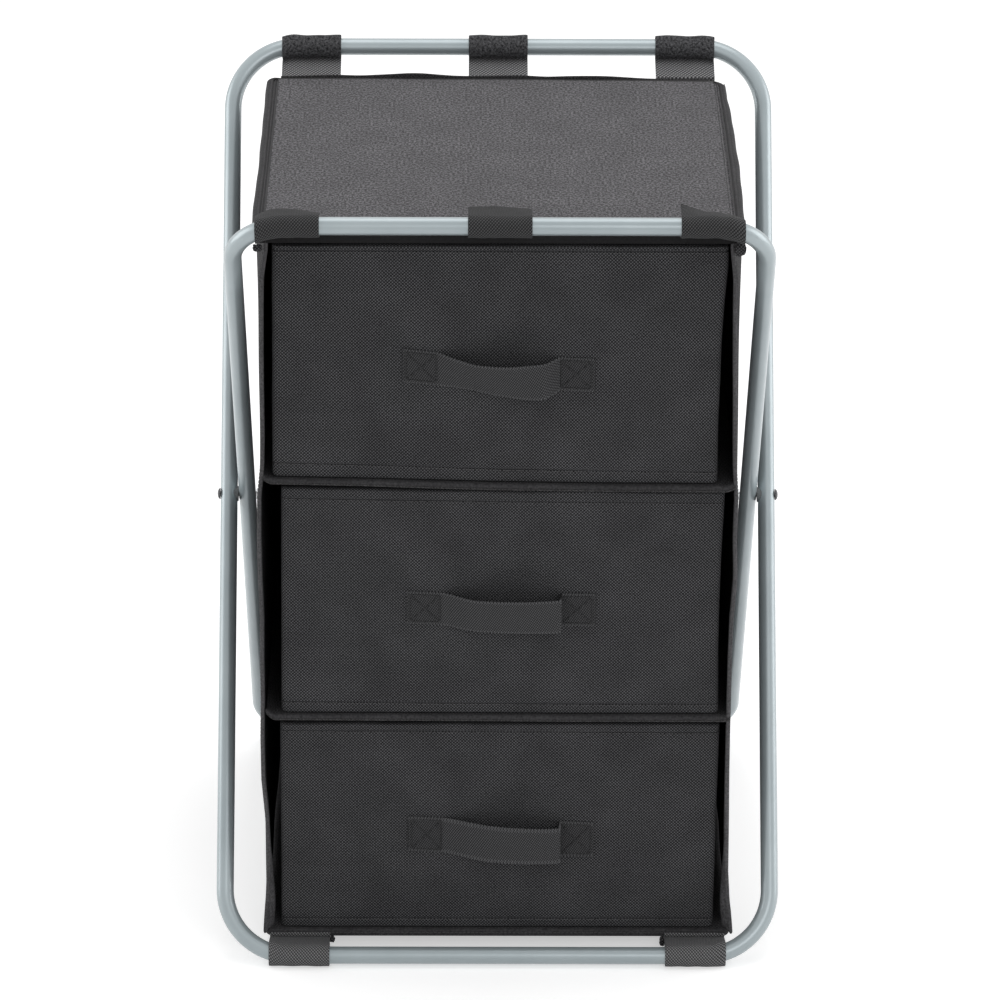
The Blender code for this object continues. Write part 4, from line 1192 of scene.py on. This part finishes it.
def drawer_shell(name, low, high, seams, seed):
    """A drawer's cloth box: rings up its outer wall, over the rim, down its inner wall and over its floor.

    The outer wall is creased above its hem seams, stands out slightly at its corner welts, is
    crowned a little on its front, and the whole has settled with use.
    """
    outer, normal = rounded_rectangle(high[0], low[1], high[1], DRAWER_CORNER)
    inner, _ = rounded_rectangle(high[0] - DRAWER_WALL, low[1] + DRAWER_FRONT_WALL, high[1] - DRAWER_WALL,
                                 DRAWER_CORNER - DRAWER_WALL)
    height = high[2] - low[2]
    z = np.unique(np.concatenate([np.linspace(low[2] + 0.0012, high[2] - 0.0016, 40)]
                                 + [seam[0] + np.linspace(-0.0060, 0.0060, 49) for seam in seams]))
    z = z[(z > low[2] + 0.0008) & (z < high[2] - 0.0010)]
    x = outer[:, 0][None]
    across = 1 - (x / high[0]) ** 2
    up = np.sin(math.pi * np.clip((z - low[2]) / height, 0, 1))[:, None]
    facing = np.clip(-normal[:, 1], 0, 1)[None]
    push = 0.0007 * across * up * facing
    push = push + 0.00018 * ripple(outer[:, 0][None] + outer[:, 1][None], z[:, None], 0.07, seed) * up
    for height_at_middle, slope in seams:
        line = height_at_middle + slope * x * facing
        push = push - 0.00095 * bell(z[:, None], line + 0.0009, 0.0006)
    corner_ridge = 0.00045 * bell(np.abs(outer[:, 0]), high[0] - 0.0058, 0.0012) * np.abs(normal[:, 1])
    push = push + corner_ridge[None] - 0.0004 * (bell(np.abs(outer[:, 0]), high[0] - 0.0085, 0.0008)
                                                 * np.abs(normal[:, 1]))[None]
    wall = raised(outer[None] + normal[None] * push[..., None], z[:, None])
    share = np.linspace(0, 1, 11)
    rim_height = (high[2] - 0.0012 * np.abs(2 * share - 1) ** 4)[:, None]
    rim_height = rim_height + (0.0003 * ripple(outer[:, 0], outer[:, 1], 0.09, seed + 1)[None] - 0.0003)
    rim = raised(outer[None] + (inner - outer)[None] * share[:, None, None], rim_height)
    inside = raised(inner[None], np.linspace(high[2] - 0.003, low[2] + 0.0030, 14)[:, None])
    centre = np.array([0.0, (low[1] + high[1]) / 2])
    floor_share = np.array([0.97, 0.85, 0.6, 0.3, 0.02])
    floor = raised(centre + (inner - centre)[None] * floor_share[:, None, None], low[2] + 0.0025)
    under_share = np.array([0.02, 0.3, 0.6, 0.9, 0.99, 0.997])
    under_height = low[2] + np.array([0.0, 0.0, 0.0, 0.0, 0.0002, 0.0006])
    under = raised(centre + (outer - centre)[None] * under_share[:, None, None], under_height[:, None])
    surface = settled(np.concatenate([under, wall, rim, inside, floor]), name)
    around = length_along(np.concatenate([outer, outer[:1]]))
    upward = length_along(surface[:, len(outer) // 2])
    part = capped(surface, points_at(around[None], upward[:, None]))
    return part, surface[len(under):len(under) + len(z)], z


def drawer_seams(wall, z, seams):
    """Stitching along the hem seams, all round the drawer: the wall read at each seam's height."""
    parts = []
    columns = np.arange(wall.shape[1])
    for middle, slope in seams:
        facing = wall[0, :, 1] < wall[0, :, 1].min() + 0.004
        line = middle + slope * wall[0, :, 0] * facing
        row = np.clip(np.searchsorted(z, line), 1, len(z) - 1)
        path = wall[row, columns]
        parts.append(ring_stitches(np.concatenate([path, path[:1]])))
    return gather(parts)


def ring_stitches(path):
    """Stitches along a closed line round a drawer, each facing away from the drawer's middle."""
    spots = resampled(path, 0.0034)
    outward = np.zeros_like(spots)
    flat_side = np.abs(spots[:, 0]) > np.abs(path[:, 0]).max() - 0.003
    outward[:, 0] = np.where(flat_side, np.sign(spots[:, 0]), 0.0)
    outward[:, 1] = np.where(flat_side, 0.0, np.sign(spots[:, 1]))
    return stitches(path, outward, pitch=0.0034, length=0.0024, radius=0.00030)


# Each handle: x shift, width, hang of its loop, then by place from -1 to 1 how far the loop stands
# out (share of the full bow) and by place along it how far it is sewn above its middle line (m)
HANDLES = {
    "top_drawer": (-0.0005, 0.0272, 0.0028,
                   ((-1.0, 0.0), (-0.85, 0.10), (-0.6, 0.36), (-0.3, 0.66), (0.0, 0.87), (0.3, 0.98),
                    (0.6, 1.0), (0.74, 0.96), (0.84, 0.62), (0.93, 0.24), (1.0, 0.0)),
                   ((-0.0725, 0.0059), (-0.0455, 0.0031), (0.0462, -0.0006), (0.0706, -0.0018)),
                   ((-1.0, 0.0), (-0.8, -0.25), (-0.4, -0.42), (0.2, -0.20), (0.7, 0.22), (1.0, 0.0))),
    "middle_drawer": (0.0020, 0.0275, 0.0001,
                      ((-1.0, 0.0), (-0.85, 0.16), (-0.6, 0.62), (-0.4, 0.86), (0.0, 0.97), (0.4, 1.0),
                       (0.8, 0.92), (0.94, 0.86), (0.985, 0.80), (1.0, 0.0)),
                      ((-0.069, 0.0034), (-0.0445, 0.0025), (0.0509, 0.0019), (0.0726, 0.0017)),
                      ((-1.0, 0.0), (-0.5, -0.12), (0.3, -0.10), (1.0, 0.0))),
    "bottom_drawer": (0.0028, 0.0304, -0.0002,
                      ((-1.0, 0.0), (-0.85, 0.12), (-0.55, 0.52), (-0.25, 0.84), (0.1, 0.98), (0.5, 1.0),
                       (0.8, 0.92), (0.94, 0.82), (0.985, 0.74), (1.0, 0.0)),
                      ((-0.069, 0.0019), (-0.0434, 0.0009), (0.0495, -0.0022), (0.0748, -0.0030)),
                      ((-1.0, 0.0), (-0.4, 0.10), (0.3, 0.06), (1.0, 0.0))),
}


def along_handle(places, x):
    """A handle's stated values read at x, smoothed over seven neighbours short of its right end."""
    values = read_off(places, x)
    soft = np.convolve(np.pad(values, 3, mode="edge"), np.ones(7) / 7, mode="valid")
    return np.where(x < 0.90, soft, values)


def handle(name, node, body):
    """A webbing handle: flat sewn ends and a loop that stands out, hangs down and twists."""
    shift, width, sag, stand_table, rise_table, twist_table = HANDLES[body]
    low, high = packed_box(node)
    seat = high[1] - HANDLE_THICKNESS / 2
    middle_x = (low[0] + high[0]) / 2 + shift
    middle_z = (low[2] + high[2]) / 2
    across = spaced(-width / 2, width / 2, 14, THIN_RIM)
    fold = HANDLE_LENGTH / 2 - HANDLE_PATCH
    x0 = np.unique(np.concatenate([spaced(-HANDLE_LENGTH / 2, HANDLE_LENGTH / 2, 220, THIN_RIM),
                                   fold + np.linspace(-0.0016, 0.0002, 10)]))
    share = np.clip(x0 / fold, -1, 1)
    stand = HANDLE_BOW * along_handle(stand_table, share)
    rise = read_off(rise_table, x0 + shift) - sag * (1 - share ** 2)
    twist = along_handle(twist_table, share)
    w, x = np.meshgrid(across, x0)
    y = seat - np.maximum(stand[:, None] - twist[:, None] * w, 0.0)
    z = middle_z + rise[:, None] + w * np.sqrt(1 - np.minimum(twist ** 2, 0.5))[:, None]
    part = cloth(points_at(x + middle_x, y, z), points_at(x, w), HANDLE_THICKNESS,
                 rounded_off(x0, THIN_RIM), rounded_off(across, THIN_RIM))
    sewn = smooth_step(np.abs(x0), fold - 0.0010, fold + 0.0006)
    piece = add_piece(name, part, WEBBING, marks=np.tile(np.repeat(sewn, len(across)), 2))
    on_case(piece, body, (node,))
    margin = 0.0026
    inner = fold + 0.0010
    outer = HANDLE_LENGTH / 2 - margin
    half = width / 2 - margin
    corners = [(inner, -half), (outer, -half), (outer, half), (inner, half)]
    sides = list(zip(corners, corners[1:] + corners[:1]))
    diagonals = [(corners[0], corners[2]), (corners[1], corners[3])]
    along = np.linspace(0, 1, 12)
    parts = []
    for sign in (-1, 1):
        for (x1, z1), (x2, z2) in sides + diagonals:
            run = sign * (x1 + (x2 - x1) * along)
            climb = read_off(rise_table, run + shift)
            path = points_at(middle_x + run, seat - HANDLE_THICKNESS / 2 - 0.00030,
                             middle_z + climb + z1 + (z2 - z1) * along)
            parts.append(stitches(path, (0, -1, 0), pitch=0.0027, length=0.0022, radius=0.00050))
    threads = add_piece(f"{name}_box_stitching", gather(parts), DARK_THREAD, SMALL_CREASE)
    on_case(threads, body)


def drawers():
    """Three drawers with their boards, seams and handles."""
    rows = (
        ("top_drawer", ((0.5850, 0.0), (0.4122, -0.0070))),
        ("middle_drawer", ((0.3836, -0.002), (0.2118, -0.004))),
        ("bottom_drawer", ((0.1871, -0.004), (0.0240, 0.0))),
    )
    for number, (name, seams) in enumerate(rows):
        low, high = packed_box(f"{name}_box")
        part, wall, z = drawer_shell(name, low, high, seams, 30 + number)
        box = add_piece(f"{name}_shell", part, DRAWER_CLOTH, ROUNDED_CREASE)
        on_case(box, name, (f"{name}_box",))
        seam_part = drawer_seams(wall, z, seams)
        on_case(add_piece(f"{name}_stitching", seam_part, GREY_THREAD, SMALL_CREASE), name)
        handle(f"{name}_webbing", f"{name}_handle", name)
        for kind in ("front_board", "base_board"):
            board_low, board_high = packed_box(f"{name}_{kind}")
            board_piece(f"{name}_{kind}_plate", f"{name}_{kind}", board_low, board_high, name,
                        settle=lambda points, name=name: settled(points, name))


# The studio

def photo_camera():
    """The photograph's viewpoint: from the front, above, 4.3 m away with a long lens."""
    pitch, yaw, roll = (math.radians(angle) for angle in (23.52, 0.32, 0.24))
    distance = 4.294
    right = Vector((math.cos(yaw), -math.sin(yaw), 0.0))
    ahead = Vector((math.sin(yaw) * math.cos(pitch), math.cos(yaw) * math.cos(pitch), -math.sin(pitch)))
    above = right.cross(ahead)
    data = bpy.data.cameras.new("photo_camera")
    data.lens = 194.36
    data.sensor_width = 36.0
    camera = add_object("photo_camera", data)
    place = Vector(PIVOT) - distance * ahead + 0.0018 * right - 0.0047 * above
    turned_right = math.cos(roll) * right + math.sin(roll) * above
    turned_above = math.cos(roll) * above - math.sin(roll) * right
    axes = Matrix((turned_right, turned_above, -ahead)).transposed()
    camera.matrix_world = Matrix.Translation(place) @ axes.to_4x4()
    bpy.context.scene.camera = camera


def area_lamp(name, place, aim, size, power):
    """A square soft light that faces a point."""
    data = bpy.data.lights.new(name, "AREA")
    data.size = size
    data.energy = power
    lamp = add_object(name, data)
    lamp.location = place
    lamp.rotation_euler = (Vector(aim) - Vector(place)).to_track_quat("-Z", "Y").to_euler()


def white_to_the_eye(tree, plain, white, lit):
    """Mix two shaders: white where the camera, a gloss or a glass ray looks, and lit for the rest."""
    path = tree.nodes.new("ShaderNodeLightPath")
    seen = path.outputs["Is Camera Ray"]
    for ray in ("Is Glossy Ray", "Is Transmission Ray"):
        either = tree.nodes.new("ShaderNodeMath")
        either.operation = "MAXIMUM"
        tree.links.new(seen, either.inputs[0])
        tree.links.new(path.outputs[ray], either.inputs[1])
        seen = either.outputs[0]
    mix = tree.nodes.new("ShaderNodeMixShader")
    tree.links.new(seen, mix.inputs["Fac"])
    tree.links.new(lit, mix.inputs[1])
    tree.links.new(white, mix.inputs[2])
    tree.links.new(mix.outputs[0], plain)


def white_world():
    """A white surround for the eye, and a plain level of light on everything."""
    world = bpy.data.worlds.new("white_room")
    bpy.context.scene.world = world
    world.use_nodes = True
    tree = world.node_tree
    lit = tree.nodes["Background"]
    lit.inputs["Color"].default_value = (1.0, 1.0, 1.0, 1.0)
    lit.inputs["Strength"].default_value = 0.50
    white = tree.nodes.new("ShaderNodeBackground")
    white.inputs["Color"].default_value = (1.0, 1.0, 1.0, 1.0)
    white.inputs["Strength"].default_value = 1.0
    white_to_the_eye(tree, tree.nodes["World Output"].inputs["Surface"], white.outputs[0], lit.outputs[0])


def pale_floor():
    """A pale floor that looks white to the eye and still takes the tower's soft shadow."""
    mesh = bpy.data.meshes.new("studio_floor")
    size = 14.0
    corners = [(-size, -size, 0), (size, -size, 0), (size, size, 0), (-size, size, 0)]
    mesh.from_pydata(corners, [], [(0, 1, 2, 3)])
    floor = add_object("studio_floor", mesh)
    floor.location.z = -0.0002
    material = bpy.data.materials.new("studio_floor")
    material.use_nodes = True
    tree = material.node_tree
    matt = tree.nodes["Principled BSDF"]
    matt.inputs["Base Color"].default_value = (0.86, 0.86, 0.86, 1.0)
    matt.inputs["Roughness"].default_value = 0.9
    matt.inputs["Specular IOR Level"].default_value = 0.1
    glow = tree.nodes.new("ShaderNodeEmission")
    glow.inputs["Strength"].default_value = 0.47
    added = tree.nodes.new("ShaderNodeAddShader")
    tree.links.new(matt.outputs[0], added.inputs[0])
    tree.links.new(glow.outputs[0], added.inputs[1])
    white_to_the_eye(tree, tree.nodes["Material Output"].inputs["Surface"], added.outputs[0], matt.outputs[0])
    mesh.materials.append(material)


def studio():
    """Camera, floor, surround and four soft lamps."""
    bpy.context.scene.view_settings.view_transform = "Standard"
    photo_camera()
    white_world()
    pale_floor()
    area_lamp("top_light", (0.2, 0.6, 3.0), (0.0, 0.0, 0.4), 2.0, 23.0)
    area_lamp("left_light", (-2.6, 0.3, 1.1), (0.0, 0.0, 0.35), 1.8, 24.0)
    area_lamp("right_light", (2.6, 0.3, 1.1), (0.0, 0.0, 0.35), 1.8, 25.0)
    area_lamp("front_light", (0.9, -3.4, 1.9), (0.0, 0.0, 0.3), 1.6, 18.0)


frame_pieces()
all_straps()
fabric_case()
drawers()
studio()
